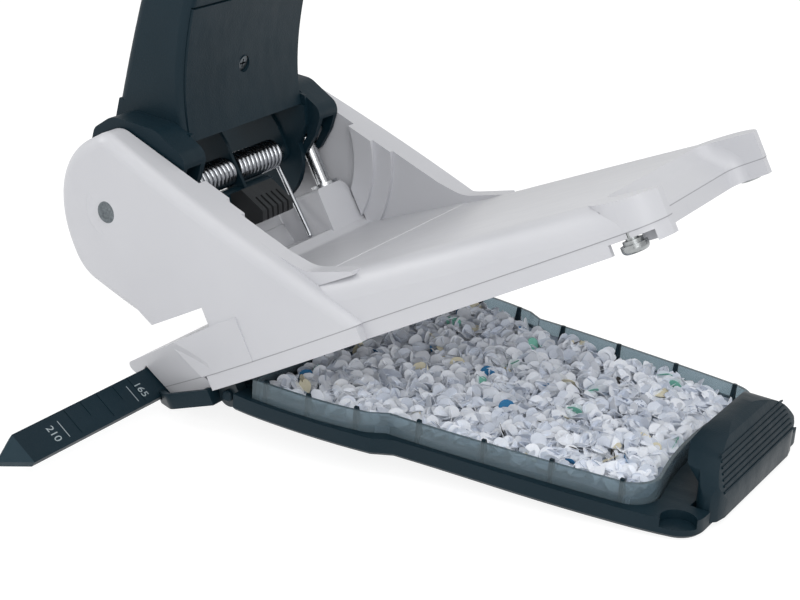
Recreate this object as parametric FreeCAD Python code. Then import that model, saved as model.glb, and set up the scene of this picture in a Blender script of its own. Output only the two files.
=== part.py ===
import FreeCAD, Part
import math
import os

V = FreeCAD.Vector

# ---------------------------------------------------------------- driving dimensions (mm)
# Every sub-part is drawn with the machine closed: x to the user's right, v rearward and w upward
# from the tray hinge axis.  The two halves are then swung open about that axis.
OPEN_ANGLE = 30.6
TRAY_TILT = 4.1
BODY_TILT = OPEN_ANGLE - TRAY_TILT

BODY_LENGTH = 169.5
TRAY_LENGTH = BODY_LENGTH - 4.5
TRAY_FLOOR = -2.93
RIM_TOP = 3.2
BAND_BOTTOM = 3.5
PARTING = 8.8
WALL = 2.2

HOLE_SPACING = 80.0
HOLE_DIAMETER = 5.5
HOLE_V = -4.0
STOP_V = 7.0
SLOT_TOP = 31.0
TABLE_RISE = [(-50.0, 20.7), (-16.5, 22.8), (STOP_V, 24.3)]

PIVOT_V = -20.8
PIVOT_W = 72.4
PIN_DIAMETER = 7.7
PIN_END = 55.2
RUNNING = 0.05
LEVER_LEAN = 42.7
LEVER_SWING = 40.0
CROSS_PIN_DROP = 2.5
CROSS_PIN = 3.2
LEVER_HALF = 34.0
LEVER_WALL = 2.6
VALLEY_HALF = 46.0
EAR_INNER = 34.0
EAR_OUTER = 45.2
EAR_SHEET = 2.0

HINGE_PIN = 4.0
STROKE = 10.7
SPRING_V = PIVOT_V + 9.8
SPRING_W = PIVOT_W - 1.9
SPRING_WIRE = 1.9
SPRING_COIL = 11.2
SPRING_TURNS = 11
SPRING_FOOT_X = 19.4

RAIL_WIDTH = 11.9
RAIL_THICK = 2.4
RAIL_OUT = 118.0
RAIL_TIP = 12.0
RAIL_IN = 13.0
RAIL_TOP_EDGE = (-36.0, 17.3)
RAIL_LEAN = 24.8

BIN_WALL = 1.2
BIN_TOP = 9.87
BIN_SIDE = [(59.0, 10.0), (59.2, 22.0), (58.2, 40.0), (55.6, 54.4), (52.1, 60.0),
            (51.3, 0.485 * TRAY_LENGTH), (49.8, 0.606 * TRAY_LENGTH), (48.0, 0.727 * TRAY_LENGTH),
            (45.8, 0.8485 * TRAY_LENGTH)]
FIN_STATIONS = [15.7, 32.3, 49.7, 0.428 * TRAY_LENGTH, 0.568 * TRAY_LENGTH, 0.708 * TRAY_LENGTH,
                0.847 * TRAY_LENGTH]
TAIL_STATIONS = [(0.236 * BODY_LENGTH, 54.9), (0.378 * BODY_LENGTH, 54.0), (0.501 * BODY_LENGTH, 52.7),
                 (0.608 * BODY_LENGTH, 51.7), (0.708 * BODY_LENGTH, 50.5), (0.802 * BODY_LENGTH, 48.9),
                 (BODY_LENGTH - 20.5095, 47.2), (BODY_LENGTH - 11.526, 45.4)]
SCOOP_V = BODY_LENGTH - 11.9
LATCH_X = 43.0
LATCH_V = BODY_LENGTH - 10.5
CHUTE_X = 16.0
CHUTE_V = 2.6
CHUTE_TOP = 5.9
CLIP_SHEET = 2.0

REST_DROP = TRAY_LENGTH * math.sin(math.radians(TRAY_TILT)) - TRAY_FLOOR * math.cos(math.radians(TRAY_TILT))
BODY_SIN = math.sin(math.radians(BODY_TILT))
BODY_COS = math.cos(math.radians(BODY_TILT))
FACET_V = (TRAY_FLOOR * -BODY_COS - REST_DROP) / BODY_SIN
FACET_LENGTH = 8.0
REST_Y = -(FACET_V * BODY_COS - TRAY_FLOOR * BODY_SIN) + FACET_LENGTH / 2


# ---------------------------------------------------------------- drawing helpers
def rounded_wire(corners, lift):
    """Closed wire through corners (a, b[, radius]); lift turns a plane point into space."""
    pts = [(c[0], c[1], c[2] if len(c) > 2 else 0.0) for c in corners]
    n = len(pts)
    starts, ends, mids = [], [], []
    for i in range(n):
        px, py, r = pts[i]
        ax, ay, _ = pts[i - 1]
        bx, by, _ = pts[(i + 1) % n]
        la = math.hypot(ax - px, ay - py)
        lb = math.hypot(bx - px, by - py)
        ua = ((ax - px) / la, (ay - py) / la)
        ub = ((bx - px) / lb, (by - py) / lb)
        if r <= 0:
            starts.append((px, py))
            ends.append((px, py))
            mids.append(None)
            continue
        half = math.acos(max(-1.0, min(1.0, ua[0] * ub[0] + ua[1] * ub[1]))) / 2
        reach = r / math.tan(half)
        bis = (ua[0] + ub[0], ua[1] + ub[1])
        lb2 = math.hypot(bis[0], bis[1])
        away = r / math.sin(half) - r
        starts.append((px + ua[0] * reach, py + ua[1] * reach))
        ends.append((px + ub[0] * reach, py + ub[1] * reach))
        mids.append((px + bis[0] / lb2 * away, py + bis[1] / lb2 * away))
    edges = []
    for i in range(n):
        if mids[i] is not None:
            edges.append(Part.Arc(V(*lift(*starts[i])), V(*lift(*mids[i])), V(*lift(*ends[i]))).toShape())
        p = V(*lift(*ends[i]))
        q = V(*lift(*starts[(i + 1) % n]))
        if p.distanceToPoint(q) > 1e-6:
            edges.append(Part.makeLine(p, q))
    return Part.Wire(edges)


def side_prism(corners, x0, x1):
    wire = rounded_wire(corners, lambda a, b: (x0, a, b))
    return Part.Face(wire).extrude(V(x1 - x0, 0, 0))


def plan_prism(corners, w0, w1):
    wire = rounded_wire(corners, lambda a, b: (a, b, w0))
    return Part.Face(wire).extrude(V(0, 0, w1 - w0))


def front_prism(corners, v0, v1):
    wire = rounded_wire(corners, lambda a, b: (a, v0, b))
    return Part.Face(wire).extrude(V(0, v1 - v0, 0))


def box(x0, x1, v0, v1, w0, w1):
    return Part.makeBox(x1 - x0, v1 - v0, w1 - w0, V(x0, v0, w0))


def rod_x(x0, x1, v, w, diameter):
    return Part.makeCylinder(diameter / 2, x1 - x0, V(x0, v, w), V(1, 0, 0))


def rod_w(x, v, w0, w1, diameter):
    return Part.makeCylinder(diameter / 2, w1 - w0, V(x, v, w0), V(0, 0, 1))


def mirrored(shape):
    return shape.mirror(V(0, 0, 0), V(1, 0, 0))


def both(shape):
    return [shape, mirrored(shape)]


def tidy(shape):
    """One clean solid (or compound of solids) without split faces."""
    clean = shape.removeSplitter()
    return clean.Solids[0] if len(clean.Solids) == 1 else clean


def fused(shapes):
    whole = shapes[0].fuse(shapes[1:]) if len(shapes) > 1 else shapes[0]
    return tidy(whole)


def round_edges(shape, radius, wanted):
    edges = [e for e in shape.Edges if wanted(e.CenterOfMass, e)]
    return shape.makeFillet(radius, edges) if edges else shape


def bevel_edges(shape, size, wanted):
    edges = [e for e in shape.Edges if wanted(e.CenterOfMass, e)]
    return shape.makeChamfer(size, edges) if edges else shape


def swing(shape, angle):
    turned = shape.copy()
    turned.rotate(V(0, 0, 0), V(1, 0, 0), angle)
    turned.translate(V(0, REST_Y, REST_DROP))
    return turned


def table_w(v):
    for (v0, w0), (v1, w1) in zip(TABLE_RISE, TABLE_RISE[1:]):
        if v <= v1:
            return w0 + (w1 - w0) * (v - v0) / (v1 - v0)
    return TABLE_RISE[-1][1]


# ---------------------------------------------------------------- plan outlines
WIDE_PEAK = 60.8
WIDE_PEAK_V = 22.0
WIDE_BEND = 470.0
WIDE_FRONT = -20.0
WIDE_REAR = 64.0
DRAFT = 0.045
CHEEK_FRONT = -54.0
CHEEK_NOSE = -50.3
CHEEK_TOP = PIVOT_W + 25.1
TAIL_ROUND = 8.5


def wide_half(v):
    return WIDE_PEAK - (v - WIDE_PEAK_V) ** 2 / WIDE_BEND


def wide_wire(inset, w, shrink, front, rear):
    """Outline of the broad front half: bowed sides, tapered nose with a bulged front edge."""
    k = 1.0 - shrink
    side = [(wide_half(v) - inset) * k for v in (rear, WIDE_PEAK_V, WIDE_FRONT)]
    nose = (50.0 - inset) * k
    rear_r = V(side[0], rear - inset, w)
    peak_r = V(side[1], WIDE_PEAK_V, w)
    front_r = V(side[2], WIDE_FRONT, w)
    nose_r = V(nose, front + 6.0 + inset, w)
    tip_r = V(nose - 5.0, front + 2.0 + inset, w)
    bend_r = V(nose - 1.3, front + 3.2 + inset, w)

    def flip(p):
        return V(-p.x, p.y, p.z)
    edges = [Part.Arc(rear_r, peak_r, front_r).toShape(),
             Part.makeLine(front_r, nose_r),
             Part.Arc(nose_r, bend_r, tip_r).toShape(),
             Part.Arc(tip_r, V(0, front + inset, w), flip(tip_r)).toShape(),
             Part.Arc(flip(tip_r), flip(bend_r), flip(nose_r)).toShape(),
             Part.makeLine(flip(nose_r), flip(front_r)),
             Part.Arc(flip(front_r), flip(peak_r), flip(rear_r)).toShape(),
             Part.makeLine(flip(rear_r), rear_r)]
    return Part.Wire(edges)


def tail_wire(inset, w, rear):
    """Outline of the slim rear half with rounded corners."""
    right = [V(h - inset, v, w) for v, h in TAIL_STATIONS]
    left = [V(-p.x, p.y, w) for p in reversed(right)]
    corner = V(right[-1].x - 2.2, rear - inset - 4.6, w)
    back = V(right[-1].x - 8.0, rear - inset, w)
    side_r = Part.BSplineCurve()
    side_r.interpolate(right)
    side_l = Part.BSplineCurve()
    side_l.interpolate(left)
    edges = [side_r.toShape(),
             Part.Arc(right[-1], corner, back).toShape(),
             Part.makeLine(back, V(-back.x, back.y, w)),
             Part.Arc(V(-back.x, back.y, w), V(-corner.x, corner.y, w), left[0]).toShape(),
             side_l.toShape(),
             Part.makeLine(left[-1], right[0])]
    return Part.Wire(edges)


# ---------------------------------------------------------------- machine: grey shell
def bowed_wire(inset, w, shrink, front, rear):
    """Plan of the cheeks: both sides one long bow, straight front and rear."""
    k = 1.0 - shrink
    mid = (front + rear) / 2
    right = [V((wide_half(v) - inset) * k, v, w) for v in (rear, mid, front)]
    left = [V(-p.x, p.y, w) for p in right]
    return Part.Wire([Part.Arc(*right).toShape(), Part.makeLine(right[2], left[2]),
                      Part.Arc(left[2], left[1], left[0]).toShape(), Part.makeLine(left[0], right[0])])


def cheek_block(inset):
    """The two cheeks as one block, before the valley between them is taken out."""
    i = inset
    low = bowed_wire(i, 0.0, 0.0, CHEEK_FRONT, WIDE_REAR + 2)
    high = bowed_wire(i, 100.0, DRAFT, CHEEK_FRONT, WIDE_REAR + 2)
    plan = Part.makeLoft([low, high], True, True).Solids[0]
    top = CHEEK_TOP - i
    front = CHEEK_NOSE + i
    profile = [(WIDE_REAR - 1.3 * i, PARTING), (-5.8, PARTING), (-20.7 + 1.35 * i, SLOT_TOP),
               (front, 56.8 + 0.45 * i, 16.0 - i), (front, top, 32.0 - i), (-7.6 - 0.48 * i, top, 8.0)]
    return tidy(plan.common(side_prism(profile, -70, 70)))


def nose_block(inset):
    """Front nose under the paper slot: flat table, leaning front, side faces creased and tapering."""
    i = inset
    plan = Part.Face(wide_wire(i, 0.0, 0.0, -50.0, 30.0)).extrude(V(0, 0, 40))
    profile = [(20.0, PARTING), (-5.8, PARTING), (-3.5 - i, 4.2), (-35.0 + i, 4.2, 1.0),
               (-47.2 + i, 20.9 - i, 2.0), (-16.5, 22.8 - i), (10.0, 24.4 - i), (20.0, 24.4 - i)]
    block = plan.common(side_prism(profile, -70, 70))
    crease_top = V(57.2, -16.5, 22.8)
    normal = (V(57.7, -2.5, 3.7) - crease_top).cross(V(50.0, -44.0, 21.5) - crease_top)
    normal = normal * (-1.0 / normal.Length)
    turn = FreeCAD.Rotation(V(0, 0, 1), normal)
    slab = Part.makeBox(200, 200, 30, V(-100, -100, 0))
    slab.Placement = FreeCAD.Placement(crease_top - normal * i, turn)
    slab = slab.common(box(0, 90, -60, 0, 0, SLOT_TOP))
    for piece in both(slab):
        block = block.cut(piece)
    return tidy(block)


def tail_block(inset):
    plan = Part.Face(tail_wire(inset, PARTING, BODY_LENGTH)).extrude(V(0, 0, 40))
    profile = [(39.0, PARTING), (39.0, 28.7 - inset), (58.0, 26.0 - inset, 90.0),
               (BODY_LENGTH - 3.0, 18.0 - inset), (BODY_LENGTH + 5, 17.0 - inset), (BODY_LENGTH + 5, PARTING)]
    block = plan.common(side_prism(profile, -70, 70))
    return tidy(block)


def valley_cut(grow):
    """Space between the two cheeks, open to the front, over the jaw and the valley floor."""
    g = grow
    profile = [(-70, 36.5 - g), (3.0 - 0.3 * g, 36.5 - g), (6.5 - 0.3 * g, 32.9 - g, 3.0),
               (50.0, 27.35 - g), (60.0, 26.4 - g), (110.0, 25.0), (110.0, 130.0), (-70, 130.0)]
    half = VALLEY_HALF + g
    return side_prism(profile, -half, half)


def slot_cut(grow):
    front = [(v, w - grow) for v, w in TABLE_RISE]
    profile = [(-75.0, 19.0 - grow)] + front[:2] + [(STOP_V + grow, 24.3 - grow), (STOP_V + grow, SLOT_TOP + grow),
                                                    (-75.0, SLOT_TOP + grow)]
    return side_prism(profile, -75, 75)


def scoop_cut(grow):
    """Thumb recess in the rear end: a dished slope down to the parting line."""
    g = grow
    edge = SCOOP_V - g
    profile = [(edge - 8.6, 40.0), (edge - 8.6, 19.6 - g), (edge - 6.1, 15.0 - g, 6.0), (edge, 9.6 - g, 2.0),
               (edge, -5.0), (edge + 32.0, -5.0), (edge + 32.0, 40.0)]
    block = side_prism(profile, -34.5 - g, 34.5 + g)
    return round_edges(block, 5.0 + g,
                       lambda c, e: abs(abs(c.x) - 34.5 - g) < 0.05 and c.y < SCOOP_V + 0.4 and c.z < 24)


def cheek_pads():
    """Two stepped pads on each inner cheek, rings about the lever pivot."""
    pads = []
    for r0, r1, depth in ((36.0, 44.0, 3.6), (44.0, 51.0, 1.8)):
        ring = rod_x(VALLEY_HALF - depth, VALLEY_HALF + 1, PIVOT_V, PIVOT_W, 2 * r1)
        ring = ring.cut(rod_x(VALLEY_HALF - depth - 1, VALLEY_HALF + 2, PIVOT_V, PIVOT_W, 2 * r0))
        wedge = side_prism([(5.0, 24.0), (60.0, 24.0), (60.0, 30.0), (22.0, 78.0), (13.0, 84.0), (5.0, 60.0)], 0, 60)
        pads.append(ring.common(wedge))
    return pads


def guide_boss():
    inner = SPRING_FOOT_X + 5.4
    block = front_prism([(inner, 30.0), (VALLEY_HALF + 1, 30.0), (VALLEY_HALF + 1, 40.0), (43.0, 44.0),
                         (43.0, 52.0, 5.0), (inner, 52.0, 1.5)], -17.0, 4.0)
    bore = rod_w(HOLE_SPACING / 2, HOLE_V, 20, 60, 9.0)
    return block.fuse(rod_w(HOLE_SPACING / 2, HOLE_V, 30, 52.0, 13.0)).cut(bore)


def pivot_boss():
    return rod_x(VALLEY_HALF, PIN_END - 1.2, PIVOT_V, PIVOT_W, 20.0)


def jaw_ridge():
    """Low wall along the front of the jaw, open in the middle where the stop comes down."""
    outline = [(-21.5, 34.0), (-21.5, 43.0), (-20.0, 45.0, 1.0), (-17.5, 45.0, 1.0), (-15.5, 38.0), (-15.5, 34.0)]
    return side_prism(outline, 10.5, SPRING_FOOT_X + 6.0)


def screw_posts():
    return [rod_w(LATCH_X, LATCH_V, PARTING, 24.0, 8.0), rod_w(CHUTE_X, CHUTE_V, CHUTE_TOP, 24.0, 7.0)]


def stiffening_ribs():
    ribs = []
    for share in (0.236, 0.4425, 0.649, 0.826):
        v = share * BODY_LENGTH
        ribs.append(box(-42.0, 42.0, v, v + 1.6, 12.5, 26.0))
    for x in (-28.0, 0.0, 28.0):
        ribs.append(box(x - 0.8, x + 0.8, 26.0, SCOOP_V - 11.6, 14.0, 26.0))
    return ribs


def rail_channel(extra):
    lean = math.radians(RAIL_LEAN)
    top_v, top_w = RAIL_TOP_EDGE
    thick = RAIL_THICK + extra
    along = (math.sin(lean), -math.cos(lean))
    out = (-math.cos(lean), -math.sin(lean))
    a = (top_v - along[0] * extra / 2, top_w - along[1] * extra / 2)
    b = (a[0] + along[0] * (RAIL_WIDTH + extra), a[1] + along[1] * (RAIL_WIDTH + extra))
    a = (a[0] - out[0] * extra / 2, a[1] - out[1] * extra / 2)
    b = (b[0] - out[0] * extra / 2, b[1] - out[1] * extra / 2)
    return [a, b, (b[0] + out[0] * thick, b[1] + out[1] * thick), (a[0] + out[0] * thick, a[1] + out[1] * thick)]


def housing():
    cheeks = cheek_block(0.0)
    cheeks = round_edges(cheeks, 4.2, lambda c, e: abs(c.x) > 45 and c.z > SLOT_TOP + 1 and e.Length > 8)
    tail = tail_block(0.0)
    tail = round_edges(tail, TAIL_ROUND, lambda c, e: abs(c.x) > 40 and c.z > 17.5 and e.Length > 90)
    foot = side_prism([(36.0, 25.0), (36.0, 43.6), (40.5, 38.0), (48.6, 30.0, 14.0), (66.0, 25.2), (66.0, 24.0)],
                      VALLEY_HALF, 52.5)
    outer = fused([cheeks, nose_block(0.0), tail] + both(foot))
    outer = outer.cut(valley_cut(0.0))
    lowered = tail.copy()
    lowered.translate(V(0, 0, -WALL))
    hollow_tail = tail_block(WALL).common(lowered)
    inner = fused([cheek_block(WALL), nose_block(WALL), hollow_tail])
    inner = inner.fuse(box(-50, 50, -9, 62, PARTING - 6, PARTING + 8))
    inner = inner.cut(valley_cut(WALL)).cut(slot_cut(WALL)).cut(scoop_cut(WALL))
    shell = outer.cut(inner)
    ribs = [rib.common(inner) for rib in stiffening_ribs()]
    for post in screw_posts():
        ribs += [piece.common(inner) for piece in both(post)]
    bosses = [guide_boss(), pivot_boss(), jaw_ridge()] + [pad.common(cheeks) for pad in cheek_pads()]
    for boss in bosses:
        ribs += both(boss)
    shell = fused([shell] + ribs)
    shell = shell.cut(slot_cut(0.0)).cut(scoop_cut(0.0))
    for x in (-HOLE_SPACING / 2, HOLE_SPACING / 2):
        shell = shell.cut(rod_w(x, HOLE_V, 4, 60, 9.0))
        shell = shell.cut(rod_w(x, HOLE_V, 3.0, 26.0, HOLE_DIAMETER + 3.0))
    shell = shell.cut(box(-52.4, 52.4, HOLE_V - 7.4, HOLE_V + 7.4, 21.6, 26.0))
    shell = shell.cut(rod_x(-70, 70, PIVOT_V, PIVOT_W, PIN_DIAMETER))
    shell = shell.cut(side_prism(rail_channel(1.2), 40, 75))
    shell = shell.cut(side_prism(rail_channel(CLIP_SHEET), -47.5, 46.0))
    for x in (-LATCH_X, LATCH_X):
        shell = shell.cut(rod_w(x, LATCH_V, PARTING - 1, 15.0, 4.0))
    for x in (-CHUTE_X, CHUTE_X):
        shell = shell.cut(rod_w(x, CHUTE_V, 0, 14.5, 3.0))
    return tidy(shell)


# ---------------------------------------------------------------- machine: the other fixed pieces
def base_frame():
    """Light band closing the shell from below, with hinge lugs and cut-outs for the latch screws."""
    wide = [Part.Face(bowed_wire(i, BAND_BOTTOM, 0.0, -5.2 + i, WIDE_REAR - 1.0 - i)).extrude(
        V(0, 0, PARTING - BAND_BOTTOM)) for i in (0.15, 1.75)]
    slim = [Part.Face(tail_wire(i, BAND_BOTTOM, BODY_LENGTH)).extrude(
        V(0, 0, PARTING - BAND_BOTTOM)) for i in (0.15, 1.75)]
    ring = wide[0].fuse(slim[0]).cut(wide[1].fuse(slim[1]).fuse(box(-50, 50, 30, 80, 0, 12)))
    ring = ring.cut(box(-62, 62, -20, -3.2, 0, 12).fuse(box(-49, 49, -6, 1.5, 0, 12)))
    ring = ring.cut(scoop_cut(0.0))
    back = tail_wire(0.15, BAND_BOTTOM, BODY_LENGTH)
    back = Part.Face(back).extrude(V(0, 0, PARTING - BAND_BOTTOM))
    back = back.common(scoop_cut(1.8).cut(scoop_cut(0.0)))
    lug_holder = box(51.4, 56.0, -3.1, 4.4, 0.0, PARTING - 0.3).fuse(rod_x(51.4, 56.0, 0, 0, 8.6))
    lug = lug_holder.cut(rod_x(50, 60, 0, 0, HINGE_PIN + 2 * RUNNING))
    shelf = box(36.3, 50.0, LATCH_V - 8.2, LATCH_V + 8.5, PARTING - 1.8, PARTING)
    slim_solid = Part.Face(tail_wire(0.3, 0.0, BODY_LENGTH)).extrude(V(0, 0, 20))
    pieces = [ring, back]
    for item in (lug, shelf.common(slim_solid)):
        pieces += both(item)
    frame = fused(pieces)
    notch = box(37.6, 60.0, LATCH_V - 6.4, LATCH_V + 7.3, BAND_BOTTOM - 1, PARTING - 1.8)
    for tool in (notch, rod_w(LATCH_X, LATCH_V, 0, 12, 4.4)):
        for piece in both(tool):
            frame = frame.cut(piece)
    return tidy(frame)


def front_pan():
    """Dark pan under the nose: floor, walls lapping outside the shell, slanted front rest."""
    top = [(-4.6, 4.4), (-31.0, 8.2), (-37.6, 9.4)]
    slope = (top[2][1] - top[0][1]) / (top[2][0] - top[0][0])
    outline = [(-4.6, TRAY_FLOOR + 1.0, 1.0), (FACET_V, TRAY_FLOOR), (FACET_V - FACET_LENGTH * BODY_COS,
               TRAY_FLOOR + FACET_LENGTH * BODY_SIN), (-38.4, 2.4, 1.5), (-39.6, 9.8), (-4.6, 4.4)]
    block = side_prism(outline, -62, 62)
    plan_out = [(60.2, -4.6), (60.2, -24.0, 6.0), (50.6, -37.0, 5.0), (45.0, -39.6, 6.0), (-45.0, -39.6, 6.0),
                (-50.6, -37.0, 5.0), (-60.2, -24.0, 6.0), (-60.2, -4.6)]
    block = block.common(plan_prism(plan_out, -10, 30))
    hollow_out = [(58.6, -7.4), (58.6, -23.4, 5.0), (49.4, -35.4, 4.0), (44.0, -37.8, 5.0), (-44.0, -37.8, 5.0),
                  (-49.4, -35.4, 4.0), (-58.6, -23.4, 5.0), (-58.6, -7.4)]
    inside = side_prism([(-7.4, TRAY_FLOOR + 1.8), (FACET_V + 0.4, TRAY_FLOOR + 1.8),
                         (-36.6, 4.0), (-36.6, 20.0), (-7.4, 20.0)], -62, 62)
    block = block.cut(inside.common(plan_prism(hollow_out, -10, 30)))
    block = block.cut(side_prism(rail_channel(1.2), 30, 75))
    block = block.cut(nose_block(-0.1))
    return max(tidy(block).Solids, key=lambda s: s.Volume)


def die_plate():
    """Ground steel plate let into the table, with the two die holes and fixing rivets."""
    edge0 = HOLE_V - 7.4
    edge1 = HOLE_V + 7.4
    slab = side_prism([(edge0, 21.6), (edge1, 21.6), (edge1, table_w(edge1) - 0.05),
                       (edge0, table_w(edge0) - 0.05)], -52.4, 52.4)
    for x in (-HOLE_SPACING / 2, HOLE_SPACING / 2):
        slab = slab.cut(rod_w(x, HOLE_V, 20, 30, HOLE_DIAMETER + 2 * RUNNING))
    for x in (-50.0, -20.0, 20.0, 50.0):
        dimple = Part.makeSphere(2.0, V(x, HOLE_V + 1.5, 24.9))
        slab = slab.cut(dimple)
    return tidy(slab)


def guide_bush(x):
    tube = rod_w(x, HOLE_V, SLOT_TOP + 0.4, 53.2, 8.96).fuse(rod_w(x, HOLE_V, 52.0, 53.2, 10.6))
    tube = tube.cut(rod_w(x, HOLE_V, 20, 60, HOLE_DIAMETER + 2 * RUNNING))
    cone = Part.makeCone(HOLE_DIAMETER / 2 + 1.0, HOLE_DIAMETER / 2, 1.0, V(x, HOLE_V, SLOT_TOP + 0.4))
    return tidy(tube.cut(cone))


def pivot_pin(side):
    """Steel pin pressed through the cheek, its outer end knurled and dished."""
    pin = rod_x(31.0, PIN_END, PIVOT_V, PIVOT_W, PIN_DIAMETER - 0.02)
    knurl = []
    for k in range(16):
        a = 2 * math.pi * k / 16
        v, w = PIVOT_V + math.cos(a) * PIN_DIAMETER / 2, PIVOT_W + math.sin(a) * PIN_DIAMETER / 2
        knurl.append(rod_x(PIN_END - 2.2, PIN_END - 0.2, v, w, 0.5))
    pin = pin.cut(Part.makeCompound(knurl))
    dish = Part.makeSphere(8.0, V(PIN_END + 7.6, PIVOT_V, PIVOT_W))
    pin = tidy(pin.cut(dish))
    pin = bevel_edges(pin, 0.5, lambda c, e: abs(c.x - 31.0) < 0.01)
    return pin if side > 0 else mirrored(pin)


def pan_head(x, v, w_head, shank_top, head, shank, height):
    body = rod_w(x, v, w_head, shank_top, shank)
    cap = rod_w(x, v, w_head, w_head + height, head)
    cap = round_edges(cap, height * 0.55, lambda c, e: abs(c.z - w_head) < 0.01 and e.Length > head)
    screw = body.fuse(cap)
    for blade in (box(x - 2.4, x + 2.4, v - 0.5, v + 0.5, w_head - 1, w_head + 1.5),
                  box(x - 0.5, x + 0.5, v - 2.4, v + 2.4, w_head - 1, w_head + 1.5)):
        screw = screw.cut(blade)
    return tidy(screw)


def latch_screws():
    """Two zinc screws whose heads hang in the band cut-outs and snap into the tray's cups."""
    screw = pan_head(LATCH_X, LATCH_V, 2.4, 14.4, 8.6, 3.96, 2.7)
    flange = rod_w(LATCH_X, LATCH_V, 5.1, 6.3, 6.4)
    return Part.makeCompound(both(tidy(screw.fuse(flange))))


def chip_chute():
    """Dark plate under the dies that leads the punched discs back into the tray."""
    plate = side_prism([(-10.6, 10.2), (-9.6, 11.0), (-1.2, CHUTE_TOP), (7.6, CHUTE_TOP), (7.6, CHUTE_TOP - 1.4),
                        (-1.8, CHUTE_TOP - 1.4)], -46.0, 46.0)
    fences = [box(x, x + 1.2, -9.8, 7.4, 5.2, 10.4) for x in (-46.0, -31.0, 29.8, 44.8)]
    plate = plate.fuse([f.common(side_prism([(-9.8, 11.0), (-1.0, 5.2), (7.4, 5.2), (7.4, 8.0), (-6.0, 14.0)],
                                            -50, 50)) for f in fences])
    for x in (-CHUTE_X, CHUTE_X):
        plate = plate.cut(rod_w(x, CHUTE_V, 0, 12, 3.2))
    return tidy(plate)


def chute_screws():
    return Part.makeCompound(both(pan_head(CHUTE_X, CHUTE_V, CHUTE_TOP - 2.6, 14.0, 5.6, 3.0, 1.2)))


def hinge_pins():
    pin = rod_x(47.2, 57.6, 0, 0, HINGE_PIN)
    pin = bevel_edges(pin, 0.4, lambda c, e: True)
    return Part.makeCompound(both(pin))


def rail_clip():
    """Spring-steel saddle inside the nose that grips the guide rail."""
    outer = rail_channel(CLIP_SHEET)
    inner = rail_channel(0.3)
    saddle = side_prism(outer, 22.0, 46.0).cut(side_prism(inner, 20.0, 48.0))
    window = side_prism(rail_channel(4.0), 30.0, 38.0)
    core = side_prism(rail_channel(0.3), 20.0, 48.0)
    mid_v = (inner[0][0] + inner[1][0]) / 2
    mid_w = (inner[0][1] + inner[1][1]) / 2
    window = window.common(Part.makeCylinder(3.6, 40, V(34.0, mid_v, mid_w - 20), V(0, 0, 1)))
    return tidy(saddle.cut(window).cut(core))


# ---------------------------------------------------------------- tray
def tray_wire(inset, w, rear):
    """Tray outline: bowed front part, step, slim rear part, round rear corners."""
    h = -inset
    right = [V(59.9 + h, 4.6 + inset, w)]
    bow = [V(wide_half(v) + h - 0.1, v, w) for v in (8.0, 22.0, 40.0, 58.0)]
    step = [V(54.2 + h, 64.5, w)]
    slim = [V(half + h, v, w) for v, half in TAIL_STATIONS if v > 66]
    bow_curve = Part.BSplineCurve()
    bow_curve.interpolate([right[0]] + bow)
    slim_curve = Part.BSplineCurve()
    slim_curve.interpolate(step + slim)
    corner = V(42.6 + h, rear - inset - 2.4, w)
    back = V(36.0 + h, rear - inset, w)

    def flip(p):
        return V(-p.x, p.y, p.z)
    half_edges = [bow_curve.toShape(), Part.makeLine(bow[-1], step[0]), slim_curve.toShape(),
                  Part.Arc(slim[-1], corner, back).toShape()]
    edges = half_edges + [Part.makeLine(back, flip(back))]
    for e in reversed(half_edges):
        edges.append(e.mirror(V(0, 0, 0), V(1, 0, 0)))
    edges.append(Part.makeLine(flip(right[0]), right[0]))
    return Part.Wire(Part.__sortEdges__(edges))


def tray_base():
    floor_face = Part.Face(tray_wire(0.0, TRAY_FLOOR, TRAY_LENGTH))
    block = floor_face.extrude(V(0, 0, RIM_TOP - TRAY_FLOOR))
    rear_part = TRAY_LENGTH - 15.0
    block = bevel_edges(block, 1.2, lambda c, e: abs(c.z - TRAY_FLOOR) < 0.01 and (abs(c.x) > 30 or c.y > rear_part))
    well = Part.Face(wall_wire(0.5, TRAY_FLOOR + 1.6)).extrude(V(0, 0, 20))
    block = block.cut(well)
    block = block.cut(box(-33.0, 33.0, TRAY_LENGTH - 6.7, TRAY_LENGTH + 15.0, -1.0, 20.0))
    ear = rod_x(47.0, 50.9, 0, 0, 8.4).fuse(side_prism([(0.0, -4.2), (9.0, TRAY_FLOOR), (9.0, 3.0), (2.0, 3.6)],
                                                       47.0, 50.9))
    ear = ear.cut(box(40, 60, -8, 20, -9, TRAY_FLOOR))
    ear = ear.cut(rod_x(40, 60, 0, 0, HINGE_PIN))
    cup = rod_w(LATCH_X, LATCH_V, 0.2, 10.0, 11.4)
    for piece in both(ear):
        block = block.fuse(piece)
    for piece in both(cup):
        block = block.cut(piece)
    for piece in both(box(51.1, 56.4, -8.0, 5.2, -8.0, 8.0)):
        block = block.cut(piece)
    rib_ring = [box(-44.0, 44.0, v, v + 1.4, TRAY_FLOOR + 1.0, TRAY_FLOOR + 2.4) for v in (30.0, 60.0, 90.0, 120.0)]
    return tidy(block.fuse(rib_ring))


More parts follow.
